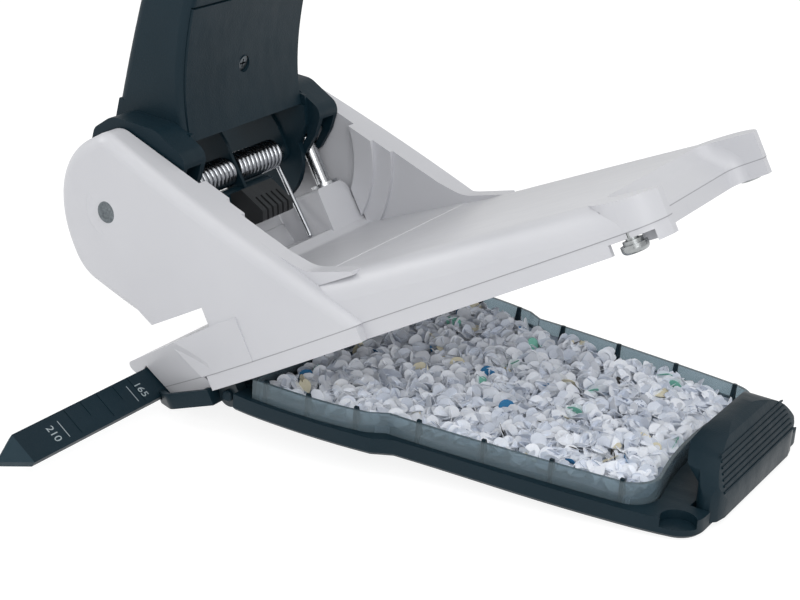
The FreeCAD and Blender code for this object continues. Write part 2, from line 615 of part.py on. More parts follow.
def wall_wire(inset, w):
    """Outline of the bin wall, stepping in where the tray narrows."""
    front = BIN_SIDE[:4]
    rear = BIN_SIDE[4:]
    right = [V(x - inset, v + (inset if v < 12 else 0), w) for x, v in front]
    slim = [V(x - inset, v, w) for x, v in rear]
    bow = Part.BSplineCurve()
    bow.interpolate(right)
    run = Part.BSplineCurve()
    run.interpolate(slim)
    corner = V(41.5 - inset, TRAY_LENGTH - 17.4 - inset * 0.7, w)
    back = V(33.0 - inset * 0.5, TRAY_LENGTH - 15.8 - inset, w)
    mid = V(0.0, TRAY_LENGTH - 19.2 - inset, w)

    def flip(p):
        return V(-p.x, p.y, p.z)
    half_edges = [bow.toShape(), Part.makeLine(right[-1], slim[0]), run.toShape(),
                  Part.Arc(slim[-1], corner, back).toShape()]
    edges = half_edges + [Part.Arc(back, mid, flip(back)).toShape()]
    for e in reversed(half_edges):
        edges.append(e.mirror(V(0, 0, 0), V(1, 0, 0)))
    edges.append(Part.makeLine(flip(right[0]), right[0]))
    return Part.Wire(Part.__sortEdges__(edges))


def bin_half(v):
    for (x0, v0), (x1, v1) in zip(BIN_SIDE, BIN_SIDE[1:]):
        if v <= v1:
            return x0 + (x1 - x0) * (v - v0) / (v1 - v0)
    return BIN_SIDE[-1][0]


def tray_bin():
    """Translucent drawer liner: thin wall, floor and small triangular fins inside the wall."""
    base_w = TRAY_FLOOR + 2.4
    outer = Part.Face(wall_wire(1.0, base_w)).extrude(V(0, 0, BIN_TOP - base_w))
    inner = Part.Face(wall_wire(1.0 + BIN_WALL, base_w + BIN_WALL)).extrude(V(0, 0, 20))
    shell = outer.cut(inner)
    fins = []
    for v in FIN_STATIONS:
        x1 = bin_half(v) - 1.0 - BIN_WALL / 2
        wedge = front_prism([(x1, base_w + 0.4), (x1, BIN_TOP - 0.6), (x1 - 0.9, BIN_TOP - 0.6),
                             (x1 - 4.2, base_w + 0.4)], v - 0.6, v + 0.6)
        fins += both(wedge)
    return fused([shell] + fins)


def grip_arch(inset):
    """Front view of the thumb grip: full height in the middle, swept down to both ends."""
    i = inset
    outline = [(-33.2 + i, -6.0), (-33.2 + i, 6.5 - i, 3.0), (-23.0, 14.6 - i, 12.0), (-9.0, 16.9 - i, 20.0),
               (9.0, 16.9 - i, 20.0), (23.0, 14.6 - i, 12.0), (33.2 - i, 6.5 - i, 3.0), (33.2 - i, -6.0)]
    return front_prism(outline, TRAY_LENGTH - 10.0, TRAY_LENGTH + 6.0)


def tray_grip():
    """Ribbed thumb grip standing on the rear of the tray."""
    rear = TRAY_LENGTH
    top = (rear - 2.6, 16.6)
    low = (rear + 2.6, 6.4)
    profile = [(rear - 6.7, -1.0), (rear - 6.3, 16.6, 1.8), top + (2.2,), low + (2.2,), (rear - 0.4, -1.0)]
    block = side_prism(profile, -33.0, 33.0)
    plan = plan_prism([(33.4, rear - 6.8, 5.5), (33.4, rear + 3.5, 7.0), (-33.4, rear + 3.5, 7.0),
                       (-33.4, rear - 6.8, 5.5)], -5, 30)
    block = block.common(plan).common(grip_arch(0.0))
    hollow = side_prism([(rear - 4.8, -5), (rear - 4.8, 14.2), (rear - 3.4, 14.2), (rear, 7.0), (rear - 2.0, -5)],
                        -30.5, 30.5)
    block = block.cut(hollow.common(grip_arch(2.2)))
    slope = math.hypot(low[0] - top[0], low[1] - top[1])
    ribs = []
    for k in range(8):
        t = (1.6 + 1.15 * k) / slope
        ribs.append(rod_x(-27.5, 27.5, top[0] + (low[0] - top[0]) * t, top[1] + (low[1] - top[1]) * t, 0.9))
    return tidy(block.fuse([rib.common(grip_arch(1.0)) for rib in ribs]))


# ---------------------------------------------------------------- lever (s along the arm, t toward its front)
LEAN_SIN = math.sin(math.radians(LEVER_LEAN))
LEAN_COS = math.cos(math.radians(LEVER_LEAN))


def arm_lift(x):
    def lift(s, t):
        return (x, PIVOT_V + s * LEAN_SIN - t * LEAN_COS, PIVOT_W + s * LEAN_COS + t * LEAN_SIN)
    return lift


def arm_point(x, s, t):
    return V(*arm_lift(x)(s, t))


def arm_prism(corners, x0, x1):
    wire = rounded_wire(corners, arm_lift(x0))
    return Part.Face(wire).extrude(V(x1 - x0, 0, 0))


ARM_FRONT = [(8.0, 19.3), (60.0, 19.3), (100.0, 16.4), (140.0, 10.2), (172.0, 2.2)]
ARM_REAR = [(172.0, -13.5), (140.0, -7.2), (100.0, -3.6), (74.0, -2.6), (54.0, -3.95), (42.0, -6.4), (25.7, -13.3)]


def arm_face(x, inset):
    """Side outline of the arm: gently bowed rearward, flaring at its foot."""
    front = Part.BSplineCurve()
    front.interpolate([arm_point(x, s, t - inset) for s, t in ARM_FRONT])
    rear = Part.BSplineCurve()
    rear.interpolate([arm_point(x, s, t + inset) for s, t in ARM_REAR])
    f0, f1 = arm_point(x, 8.0, 19.3 - inset), arm_point(x, 172.0, 2.2 - inset)
    r0, r1 = arm_point(x, 172.0, -13.5 + inset), arm_point(x, 25.7, -13.3 + inset)
    top = arm_point(x, 178.0 - inset, -6.8)
    foot = arm_point(x, 9.0, -4.0)
    edges = [front.toShape(), Part.Arc(f1, top, r0).toShape(), rear.toShape(),
             Part.makeLine(r1, foot), Part.makeLine(foot, f0)]
    return Part.Face(Part.Wire(edges))


def lever_body():
    """Moulded arm: hollow box, open toward the foot, with hub discs and forked shoulder ears."""
    arm = arm_face(-LEVER_HALF, 0.0).extrude(V(2 * LEVER_HALF, 0, 0))
    arm = round_edges(arm, 3.2, lambda c, e: abs(abs(c.x) - LEVER_HALF) < 0.01 and e.Length > 100)
    core = arm_face(-LEVER_HALF + LEVER_WALL, LEVER_WALL).extrude(V(2 * (LEVER_HALF - LEVER_WALL), 0, 0))
    low = arm_prism([(-10.0, 16.7), (60.0, 16.7), (60.0, -30.0), (-10.0, -30.0)],
                    -LEVER_HALF + LEVER_WALL, LEVER_HALF - LEVER_WALL)
    arm = arm.cut(core)
    window = arm_prism([(20.0, -2.0), (72.0, -1.0), (72.0, -20.0), (20.0, -30.0)],
                       -LEVER_HALF + 1.5, LEVER_HALF - 1.5)
    arm = arm.cut(window).cut(low.common(arm_prism([(-10.0, 16.7), (26.0, 16.7), (26.0, -30.0), (-10.0, -30.0)],
                                                   -60, 60)))
    disc = rod_x(LEVER_HALF - LEVER_WALL, LEVER_HALF, PIVOT_V, PIVOT_W, 39.6)
    cheek = arm_prism([(-2.0, 19.3), (30.0, 19.3), (30.0, -13.0), (20.0, -17.0, 3.0), (-2.0, -14.0)],
                      LEVER_HALF - LEVER_WALL, LEVER_HALF)
    ear_profile = [(PIVOT_V + dv, PIVOT_W + dw, r) for dv, dw, r in
                   ((-15.0, -6.0, 4.0), (-18.5, 3.0, 5.0), (-15.0, 13.0, 5.0), (0.5, 28.6, 4.0), (10.0, 29.5, 7.0),
                    (26.0, 19.0, 8.0), (33.6, 5.5, 5.0), (26.6, -1.6, 3.0), (19.0, -6.4, 3.0), (10.0, -7.4, 3.0),
                    (5.0, -13.5, 5.0), (-9.0, -13.5, 5.0))]
    ear = side_prism(ear_profile, EAR_INNER - 0.4, EAR_OUTER)
    pocket = [(PIVOT_V + dv, PIVOT_W + dw, r) for dv, dw, r in
              ((-40.0, -14.8, 0.0), (1.1, 26.3, 3.0), (9.4, 27.4, 6.0), (24.4, 17.8, 7.0),
               (31.2, 5.8, 4.0), (29.0, -40.0, 0.0), (-40.0, -40.0, 0.0))]
    hollow = side_prism(pocket, EAR_INNER + EAR_SHEET, EAR_OUTER - EAR_SHEET)
    hub = rod_x(EAR_INNER, EAR_OUTER, PIVOT_V, PIVOT_W, 14.0)
    rib = side_prism([(PIVOT_V - 4.0, PIVOT_W), (PIVOT_V + 4.0, PIVOT_W), (PIVOT_V + 6.0, PIVOT_W + 28.0),
                      (PIVOT_V - 2.0, PIVOT_W + 28.0)], EAR_INNER, EAR_OUTER).common(side_prism(ear_profile, 30, 50))
    shoulder = ear.cut(hollow).fuse([hub, rib])
    shoulder = shoulder.cut(punch_fork())
    pieces = [arm]
    for item in (disc, cheek, shoulder):
        pieces += both(item)
    whole = fused(pieces)
    inner_ribs = []
    for x in (-12.0, 12.0):
        inner_ribs.append(arm_prism([(12.0, 18.0), (70.0, 18.0), (70.0, 4.0, 4.0), (30.0, 2.0, 6.0), (12.0, 8.0)],
                                    x - 1.0, x + 1.0))
    for s in (74.0, 110.0, 140.0):
        inner_ribs.append(arm_prism([(s, 17.5 - (s - 74) * 0.1), (s + 1.6, 17.5 - (s - 74) * 0.1), (s + 1.6, -3.0),
                                     (s, -3.0)], -32.5, 32.5))
    whole = fused([whole] + [r.common(arm_face(-33, 1.0).extrude(V(66, 0, 0))) for r in inner_ribs] + rod_hangers())
    whole = whole.cut(arm_prism([(26.4, -9.9), (42.0, -4.6), (54.0, -2.4), (72.0, -1.2), (72.0, -20.0), (26.4, -30.0)],
                                -LEVER_HALF + 1.5, LEVER_HALF - 1.5))
    for x in (-LEVER_HALF, LEVER_HALF):
        whole = whole.cut(rod_x(x - 15, x + 15, PIVOT_V, PIVOT_W, PIN_DIAMETER + 2 * RUNNING))
    whole = whole.cut(rod_x(-33, 33, SPRING_V, SPRING_W, 6.0))
    whole = whole.cut(Part.makeCylinder(1.5, 20, arm_point(0, 46.5, -8.0), arm_point(0, 46.5, 12.0) -
                                        arm_point(0, 46.5, -8.0)))
    return tidy(whole)


def punch_fork():
    """Slot across both plates of the ear, on the line the cross pin takes as the lever swings."""
    reach = HOLE_V - PIVOT_V
    turn = math.radians(LEVER_SWING)
    low = -CROSS_PIN_DROP - STROKE
    near = V(0, reach, -CROSS_PIN_DROP - 0.1)
    far = V(0, reach * math.cos(turn) - low * math.sin(turn), reach * math.sin(turn) + low * math.cos(turn) - 0.1)
    along = far - near
    along.normalize()
    axis = V(30, PIVOT_V, PIVOT_W)
    near = axis + near - along * 0.8
    far = axis + far + along * 0.4
    width = CROSS_PIN + 0.7
    across = V(0, -along.z, along.y) * (width / 2)
    face = Part.Face(Part.makePolygon([near - across, near + across, far + across, far - across, near - across]))
    slot = rod_x(30, 50, near.y, near.z, width).fuse(rod_x(30, 50, far.y, far.z, width))
    return slot.fuse(face.extrude(V(20, 0, 0)))


def rod_hangers():
    """Two webs that carry the spring rod between the hub discs."""
    webs = [side_prism([(SPRING_V - 6.0, SPRING_W + 2.0), (SPRING_V - 2.0, SPRING_W - 8.2),
                        (SPRING_V + 5.0, SPRING_W - 8.2), (SPRING_V + 4.5, SPRING_W + 4.0)], -0.7, 0.7)]
    for x in (-31.6, -0.7, 30.2):
        web = side_prism([(SPRING_V - 7.5, SPRING_W + 1.0), (SPRING_V - 3.0, SPRING_W - 4.6, 3.5),
                          (SPRING_V + 4.4, SPRING_W - 3.6, 3.5), (SPRING_V + 4.6, SPRING_W + 9.0),
                          (SPRING_V + 2.0, SPRING_W + 22.0), (SPRING_V - 16.0, SPRING_W + 22.0)],
                         x, x + 1.4)
        webs.append(web)
    return webs


def lever_panel():
    """Screwed-on rear cover of the arm, slightly crowned, with a raised rim."""
    outer = [(26.6, -12.6), (42.0, -6.8), (54.0, -4.5), (71.6, -3.2)]
    inner = [(71.6, -1.4), (54.0, -2.6), (42.0, -4.9), (27.4, -10.4)]
    curve_out = Part.BSplineCurve()
    curve_out.interpolate([arm_point(-LEVER_HALF + 1.7, s, t) for s, t in outer])
    curve_in = Part.BSplineCurve()
    curve_in.interpolate([arm_point(-LEVER_HALF + 1.7, s, t) for s, t in inner])
    wire = Part.Wire([curve_out.toShape(), Part.makeLine(arm_point(-LEVER_HALF + 1.7, *outer[-1]),
                                                         arm_point(-LEVER_HALF + 1.7, *inner[0])),
                      curve_in.toShape(), Part.makeLine(arm_point(-LEVER_HALF + 1.7, *inner[-1]),
                                                        arm_point(-LEVER_HALF + 1.7, *outer[0]))])
    sheet = Part.Face(wire).extrude(V(2 * (LEVER_HALF - 1.7), 0, 0))
    post = Part.makeCylinder(3.2, 12.0, arm_point(0, 46.5, -5.5), arm_point(0, 46.5, 2) - arm_point(0, 46.5, -5.5))
    bore = Part.makeCylinder(1.5, 30.0, arm_point(0, 46.5, -12), arm_point(0, 46.5, 2) - arm_point(0, 46.5, -12))
    sink = Part.makeCylinder(2.9, 6.2, arm_point(0, 46.5, -9.6), arm_point(0, 46.5, 2) - arm_point(0, 46.5, -9.6))
    return tidy(sheet.fuse(post).cut(bore).cut(sink))


def panel_screw():
    axis = arm_point(0, 46.5, 2) - arm_point(0, 46.5, -9.6)
    head = Part.makeCylinder(2.7, 1.6, arm_point(0, 46.5, -5.0), axis)
    shank = Part.makeCylinder(1.49, 9.0, arm_point(0, 46.5, -5.0), axis)
    cross = box(-1.6, 1.6, -0.35, 0.35, -1, 1.0).fuse(box(-0.35, 0.35, -1.6, 1.6, -1, 1.0))
    cross.Placement = FreeCAD.Placement(arm_point(0, 46.5, -5.0), FreeCAD.Rotation(V(0, 0, 1), axis))
    return tidy(head.fuse(shank).cut(cross))


def handle_grip():
    """Soft overmould wrapped round the top of the arm."""
    outer = arm_face(-LEVER_HALF - 1.6, -1.6).extrude(V(2 * LEVER_HALF + 3.2, 0, 0))
    zone = arm_prism([(126.0, 40.0), (190.0, 40.0), (190.0, -40.0), (126.0, -40.0)], -60, 60)
    core = arm_face(-LEVER_HALF, 0.0).extrude(V(2 * LEVER_HALF, 0, 0))
    core = round_edges(core, 3.2, lambda c, e: abs(abs(c.x) - LEVER_HALF) < 0.01 and e.Length > 100)
    sleeve = outer.common(zone)
    sleeve = round_edges(sleeve, 3.8, lambda c, e: abs(abs(c.x) - LEVER_HALF - 1.6) < 0.01 and e.Length > 40)
    sleeve = sleeve.cut(core)
    grooves = []
    for k in range(7):
        s = 134.0 + k * 5.0
        t0 = 2.2 + (172.0 - s) * 0.235 + 1.9
        grooves.append(Part.makeCylinder(0.8, 52.0, arm_point(-26.0, s, t0), V(1, 0, 0)))
    return max(tidy(sleeve.cut(Part.makeCompound(grooves))).Solids, key=lambda q: q.Volume)


def stop_block():
    """Ribbed rubber stop hanging under the arm at its centre."""
    top = SPRING_W - 8.2
    rear = SPRING_V - 3.0
    body = side_prism([(rear, top - 13.3), (rear + 17.0, top - 13.3, 1.0), (rear + 18.6, top - 9.8, 1.0),
                       (rear + 13.0, top), (rear, top)], -9.0, 9.0)
    slots = [box(x - 0.5, x + 0.5, rear + 15.0, rear + 23.0, top - 17.3, top - 4.3)
             for x in (-6.0, -3.0, 0.0, 3.0, 6.0)]
    return tidy(body.cut(Part.makeCompound(slots)))


def spring_rod():
    rod = rod_x(-32.8, 32.8, SPRING_V, SPRING_W, 5.96)
    return bevel_edges(rod, 0.5, lambda c, e: True)


def spring_sleeve():
    lining = SPRING_COIL - 2 * SPRING_WIRE - 0.3
    sleeve = rod_x(1.1, 27.0, SPRING_V, SPRING_W, lining).cut(rod_x(0, 30, SPRING_V, SPRING_W, 6.0))
    return Part.makeCompound([sleeve, sleeve.mirror(V(0, 0, 0), V(1, 0, 0))])


def torsion_spring(side):
    """One coil of the double spring with its straight leg down to the jaw."""
    pitch = SPRING_WIRE + 0.4
    height = SPRING_TURNS * pitch
    mean = (SPRING_COIL - SPRING_WIRE) / 2
    helix = Part.makeHelix(pitch, height, mean)
    turn = FreeCAD.Rotation(V(0, 0, 1), V(1, 0, 0))
    helix.Placement = FreeCAD.Placement(V(1.9, SPRING_V, SPRING_W), turn)
    wire = Part.Wire(helix.Edges)
    ends = sorted((v.Point for v in wire.Vertexes), key=lambda q: q.x)
    start = ends[0]
    tangent = helix.Edges[0].tangentAt(helix.Edges[0].FirstParameter)
    ring = Part.Wire(Part.makeCircle(SPRING_WIRE / 2, start, tangent))
    coil = wire.makePipeShell([ring], True, True)
    tip = ends[-1]
    foot = V(SPRING_FOOT_X, -3.0, 37.5)
    leg = Part.makeCylinder(SPRING_WIRE / 2, (foot - tip).Length, tip, foot - tip)
    knee = Part.makeSphere(SPRING_WIRE / 2, tip)
    toe = Part.makeSphere(SPRING_WIRE / 2, foot)
    spring = coil.fuse([leg, knee, toe])
    spring = spring if side > 0 else mirrored(spring)
    return spring


# ---------------------------------------------------------------- punches
def punch(x):
    """Hardened punch: plain shank, cross-pin head and a hollow-ground cutting end."""
    shank = rod_w(x, HOLE_V, SLOT_TOP + 1.2, PIVOT_W - 0.2, HOLE_DIAMETER)
    shank = bevel_edges(shank, 0.5, lambda c, e: c.z > PIVOT_W - 1)
    notch = side_prism([(HOLE_V - 4, SLOT_TOP), (HOLE_V + 4, SLOT_TOP), (HOLE_V, SLOT_TOP + 3.0)], x - 4, x + 4)
    hole = rod_x(x - 6, x + 6, HOLE_V, PIVOT_W - CROSS_PIN_DROP, CROSS_PIN)
    return tidy(shank.cut(notch).cut(hole))


def cross_pin(x):
    pin = rod_x(x - 4.8, x + 4.8, HOLE_V, PIVOT_W - CROSS_PIN_DROP, CROSS_PIN)
    return bevel_edges(pin, 0.3, lambda c, e: True)


# ---------------------------------------------------------------- paper guide rail
def guide_rail():
    """Flat rail with graduation grooves on its broad face and an end stop inside the nose."""
    bar = side_prism(rail_channel(0.0), RAIL_IN, RAIL_OUT)
    lean = math.radians(RAIL_LEAN)
    along = V(0, math.sin(lean), -math.cos(lean))
    out = V(0, math.cos(lean), math.sin(lean))
    top = V(0, *RAIL_TOP_EDGE)
    marks = []
    for x, reach in ((62.0, 5.0), (70.0, 3.0), (78.0, 5.0), (86.0, 3.0), (94.0, 5.0)):
        line = Part.makeBox(0.5, RAIL_WIDTH * reach / 6, 0.5)
        line.Placement = FreeCAD.Placement(top + V(x, 0, 0) + along * 0.4 - out * 0.2,
                                           FreeCAD.Rotation(V(1, 0, 0), along, out, "XYZ"))
        marks.append(line)
    bar = bar.cut(Part.makeCompound(marks))
    stop = side_prism(rail_channel(1.6), RAIL_IN, RAIL_IN + 3.0)
    return tidy(bar.fuse(stop))


def rail_tip():
    """Bevelled end cap of the rail, pushed over its tongue."""
    block = side_prism(rail_channel(0.0), RAIL_OUT, RAIL_OUT + RAIL_TIP)
    corners = rail_channel(0.0)
    top = V(RAIL_OUT, *corners[0])
    low = V(RAIL_OUT, *corners[1])
    depth = V(0, corners[3][0] - corners[0][0], corners[3][1] - corners[0][1])
    mid = (top + low) * 0.5 + V(RAIL_TIP, 0, 0)
    wedge = Part.Face(Part.makePolygon([top, low, mid, top])).extrude(depth)
    return tidy(block.common(wedge))


# ---------------------------------------------------------------- build
def build_parts():
    machine = {
        "housing": housing(),
        "base_frame": base_frame(),
        "front_pan": front_pan(),
        "die_plate": die_plate(),
        "guide_bush_left": guide_bush(-HOLE_SPACING / 2),
        "guide_bush_right": guide_bush(HOLE_SPACING / 2),
        "pivot_pin_left": pivot_pin(-1),
        "pivot_pin_right": pivot_pin(1),
        "latch_screws": latch_screws(),
        "chip_chute": chip_chute(),
        "chute_screws": chute_screws(),
        "rail_clip": rail_clip(),
        "lever_body": lever_body(),
        "lever_panel": lever_panel(),
        "panel_screw": panel_screw(),
        "handle_grip": handle_grip(),
        "stop_block": stop_block(),
        "spring_rod": spring_rod(),
        "spring_sleeves": spring_sleeve(),
        "torsion_spring_left": torsion_spring(-1),
        "torsion_spring_right": torsion_spring(1),
        "punch_left": punch(-HOLE_SPACING / 2),
        "punch_right": punch(HOLE_SPACING / 2),
        "cross_pin_left": cross_pin(-HOLE_SPACING / 2),
        "cross_pin_right": cross_pin(HOLE_SPACING / 2),
        "guide_rail": guide_rail(),
        "rail_tip": rail_tip(),
    }
    tray = {
        "tray_base": tray_base(),
        "tray_bin": tray_bin(),
        "tray_grip": tray_grip(),
        "hinge_pins": hinge_pins(),
    }
    placed = {name: swing(shape, BODY_TILT) for name, shape in machine.items()}
    placed.update({name: swing(shape, -TRAY_TILT) for name, shape in tray.items()})
    return placed


def main():
    os.makedirs("parts", exist_ok=True)
    for name, shape in build_parts().items():
        shape.exportStep("parts/" + name + ".step")


main()
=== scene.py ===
import math
import random

import bpy
from mathutils import Euler, Matrix, Vector


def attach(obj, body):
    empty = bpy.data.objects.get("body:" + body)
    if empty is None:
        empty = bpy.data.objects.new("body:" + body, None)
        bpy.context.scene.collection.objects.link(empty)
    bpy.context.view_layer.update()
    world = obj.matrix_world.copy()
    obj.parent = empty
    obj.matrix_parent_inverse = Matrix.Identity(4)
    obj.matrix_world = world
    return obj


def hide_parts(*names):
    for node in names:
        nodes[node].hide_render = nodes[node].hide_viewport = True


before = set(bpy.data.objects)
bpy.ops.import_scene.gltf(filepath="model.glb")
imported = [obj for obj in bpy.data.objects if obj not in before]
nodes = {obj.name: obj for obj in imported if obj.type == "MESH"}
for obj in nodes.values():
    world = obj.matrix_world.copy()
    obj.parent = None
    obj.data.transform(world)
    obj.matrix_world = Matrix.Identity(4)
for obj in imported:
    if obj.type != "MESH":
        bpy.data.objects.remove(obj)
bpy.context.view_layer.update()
print("frame loaded,", len(nodes), "nodes")

# the shut machine is drawn flat, then body and tray swing open about the tray hinge
openedOut = {"hinge": (0.0, 0.026956, 0.014720), "bodyTilt": 26.5, "trayTilt": -4.1}
hingePlace = Matrix.Translation(openedOut["hinge"])
bodyPlace = hingePlace @ Matrix.Rotation(math.radians(openedOut["bodyTilt"]), 4, "X")
trayPlace = hingePlace @ Matrix.Rotation(math.radians(openedOut["trayTilt"]), 4, "X")

cameraSetup = {"place": (0.49585, 0.37618, 0.25567), "look": (-0.79026, -0.50490, -0.34725), "lens": 81.26}
bpy.ops.object.select_all(action="DESELECT")
bpy.ops.object.camera_add(location=cameraSetup["place"])
camera = bpy.context.object
camera.rotation_euler = Vector(cameraSetup["look"]).to_track_quat("-Z", "Y").to_euler()
camera.data.lens = cameraSetup["lens"]
camera.data.sensor_width = 36.0
camera.data.clip_start = 0.01
bpy.context.scene.camera = camera
bpy.context.scene.view_settings.view_transform = "Standard"


def linearColour(hexText):
    # sRGB hex to the linear values that sockets take
    steps = [int(hexText[i:i + 2], 16) / 255 for i in (1, 3, 5)]
    return [s / 12.92 if s <= 0.04045 else ((s + 0.055) / 1.055) ** 2.4 for s in steps] + [1.0]


def addNode(tree, kind, inputs=None, **settings):
    node = tree.nodes.new(kind)
    for name, value in settings.items():
        setattr(node, name, value)
    for key, value in (inputs or {}).items():
        if isinstance(value, bpy.types.NodeSocket):
            tree.links.new(value, node.inputs[key])
        else:
            node.inputs[key].default_value = value
    return node


def startMaterial(name, values):
    material = bpy.data.materials.new(name)
    material.use_nodes = True
    shader = material.node_tree.nodes["Principled BSDF"]
    for key, value in values.items():
        shader.inputs[key].default_value = value
    return material, material.node_tree, shader


def rampStops(node, stops):
    ramp = node.color_ramp
    while len(ramp.elements) < len(stops):
        ramp.elements.new(0.5)
    for element, (place, grey) in zip(ramp.elements, stops):
        element.position = place
        element.color = (grey, grey, grey, 1.0)


def heightAboveParting(tree, place, offset):
    # height over a level of the shut machine, in metres, wherever its body has swung
    up = bodyPlace.to_3x3() @ Vector((0, 0, 1))
    level = Vector(openedOut["hinge"]).dot(up) + offset
    along = addNode(tree, "ShaderNodeVectorMath", {0: place, 1: up}, operation="DOT_PRODUCT")
    height = addNode(tree, "ShaderNodeMath", {0: along.outputs["Value"], 1: level}, operation="SUBTRACT")
    return height.outputs[0]


# what all moulded pieces share: sizes in millimetres, the relief's depth in metres
moulding = {"mottleDetail": 3.0, "streakTurn": (0.5, 0.2, 0.4), "streakStretch": (1.0, 0.12, 0.35),
            "streakDetail": 6.0, "streakRough": 0.7, "wornFade": 0.16, "dustMm": 7.0, "dustDetail": 5.0,
            "grainDetail": 2.0, "grainDepth": 0.0002, "noiseSpan": (0.3, 0.7)}


def mouldedPlastic(name, look):
    # a mottled base, a fine eroded grain, rubbed streaks and dust on what faces up
    material, tree, shader = startMaterial(name, look["fixed"])
    place = addNode(tree, "ShaderNodeTexCoord").outputs["Object"]
    mottle = addNode(tree, "ShaderNodeTexNoise", {"Vector": place, "Scale": 1000 / look["mottleMm"],
                                                  "Detail": moulding["mottleDetail"]})
    base = addNode(tree, "ShaderNodeMix", {0: mottle.outputs["Fac"], 6: linearColour(look["dark"]),
                                           7: linearColour(look["light"])}, data_type="RGBA")
    streakPlace = addNode(tree, "ShaderNodeMapping", {"Vector": place, "Rotation": moulding["streakTurn"],
                                                      "Scale": moulding["streakStretch"]})
    streaks = addNode(tree, "ShaderNodeTexNoise", {"Vector": streakPlace.outputs[0],
                                                   "Scale": 1000 / look["streakMm"],
                                                   "Detail": moulding["streakDetail"],
                                                   "Roughness": moulding["streakRough"]})
    worn = addNode(tree, "ShaderNodeValToRGB", {"Fac": streaks.outputs["Fac"]})
    rampStops(worn, [(look["wornFrom"], 0.0), (look["wornFrom"] + moulding["wornFade"], 1.0)])
    rubbed = addNode(tree, "ShaderNodeMath", {0: worn.outputs["Color"], 1: look["wornShare"]},
                     operation="MULTIPLY")
    scuffed = addNode(tree, "ShaderNodeMix", {0: rubbed.outputs[0], 6: base.outputs[2],
                                              7: linearColour(look["worn"])}, data_type="RGBA")
    normal = addNode(tree, "ShaderNodeNewGeometry").outputs["Normal"]
    facing = addNode(tree, "ShaderNodeSeparateXYZ", {0: normal})
    dustPatch = addNode(tree, "ShaderNodeTexNoise", {"Vector": place, "Scale": 1000 / moulding["dustMm"],
                                                     "Detail": moulding["dustDetail"]})
    upward = addNode(tree, "ShaderNodeMath", {0: facing.outputs["Z"], 1: dustPatch.outputs["Fac"]},
                     operation="MULTIPLY", use_clamp=True)
    dusting = addNode(tree, "ShaderNodeMath", {0: upward.outputs[0], 1: look["dustShare"]},
                      operation="MULTIPLY", use_clamp=True)
    coloured = addNode(tree, "ShaderNodeMix", {0: dusting.outputs[0], 6: scuffed.outputs[2],
                                               7: linearColour(look["dust"])}, data_type="RGBA")
    if "seam" in look:
        # painted hairline shadow where shell and frame meet, and the frame's colour darker below a level under
        # its band, where its hinge lugs sit
        seam = look["seam"]
        away = addNode(tree, "ShaderNodeMath", {0: heightAboveParting(tree, place, seam["height"])},
                       operation="ABSOLUTE")
        line = addNode(tree, "ShaderNodeMath", {0: away.outputs[0], 1: seam["half"]}, operation="LESS_THAN")
        # strength of the painted seam shadow
        printAndSeamShade = addNode(tree, "ShaderNodeMath", {0: line.outputs[0], 1: seam["depth"]}, operation="MULTIPLY")
        coloured = addNode(tree, "ShaderNodeMix", {0: printAndSeamShade.outputs[0], 6: coloured.outputs[2],
                                                   7: linearColour(seam["shadow"])}, data_type="RGBA")
        # the frame's colour is darker below this level
        below = addNode(tree, "ShaderNodeMath", {0: heightAboveParting(tree, place, seam["lugTop"]), 1: 0.0},
                        operation="LESS_THAN")
        coloured = addNode(tree, "ShaderNodeMix", {0: below.outputs[0], 6: coloured.outputs[2],
                                                   7: linearColour(seam["lug"])}, data_type="RGBA")
    tree.links.new(coloured.outputs[2], shader.inputs["Base Color"])
    rough = addNode(tree, "ShaderNodeMapRange", {"Value": streaks.outputs["Fac"],
                                                 "From Min": moulding["noiseSpan"][0],
                                                 "From Max": moulding["noiseSpan"][1],
                                                 "To Min": look["rough"][0], "To Max": look["rough"][1]})
    tree.links.new(rough.outputs["Result"], shader.inputs["Roughness"])
    grain = addNode(tree, "ShaderNodeTexNoise", {"Vector": place, "Scale": 1000 / look["grainMm"],
                                                 "Detail": moulding["grainDetail"]})
    relief = addNode(tree, "ShaderNodeBump", {"Height": grain.outputs["Fac"], "Strength": look["grainStrength"],
                                              "Distance": moulding["grainDepth"]})
    tree.links.new(relief.outputs["Normal"], shader.inputs["Normal"])
    return material


# light grey ABS from a polished tool: clean and satin, with soft broad highlights
shellLook = {"fixed": {"IOR": 1.53, "Coat Weight": 0.12, "Coat Roughness": 0.22},
             "dark": "#c3c4c9", "light": "#cccdd1", "mottleMm": 34.0,
             "worn": "#b9babe", "wornFrom": 0.66, "wornShare": 0.25, "streakMm": 5.0,
             "dust": "#e2e2e4", "dustShare": 0.06,
             "grainMm": 0.9, "grainStrength": 0.06, "rough": (0.34, 0.46),
             "seam": {"height": 0.0088, "half": 0.00016, "depth": 0.6, "shadow": "#6f7177",
                      "lugTop": 0.00345, "lug": "#12232b"}}  # levels in metres over the tray hinge
shellPlastic = mouldedPlastic("satinGreyAbs", shellLook)

# anthracite glass-filled polyamide: blue-black, eroded matt grain that greys where hands rub it
darkLook = {"fixed": {"IOR": 1.5, "Specular IOR Level": 0.2},
            "dark": "#0d2029", "light": "#122832", "mottleMm": 26.0,
            "worn": "#22373f", "wornFrom": 0.66, "wornShare": 0.2, "streakMm": 4.0,
            "dust": "#47565b", "dustShare": 0.04,
            "grainMm": 0.55, "grainStrength": 0.28, "rough": (0.38, 0.52)}
darkPlastic = mouldedPlastic("grainedAnthracitePolyamide", darkLook)

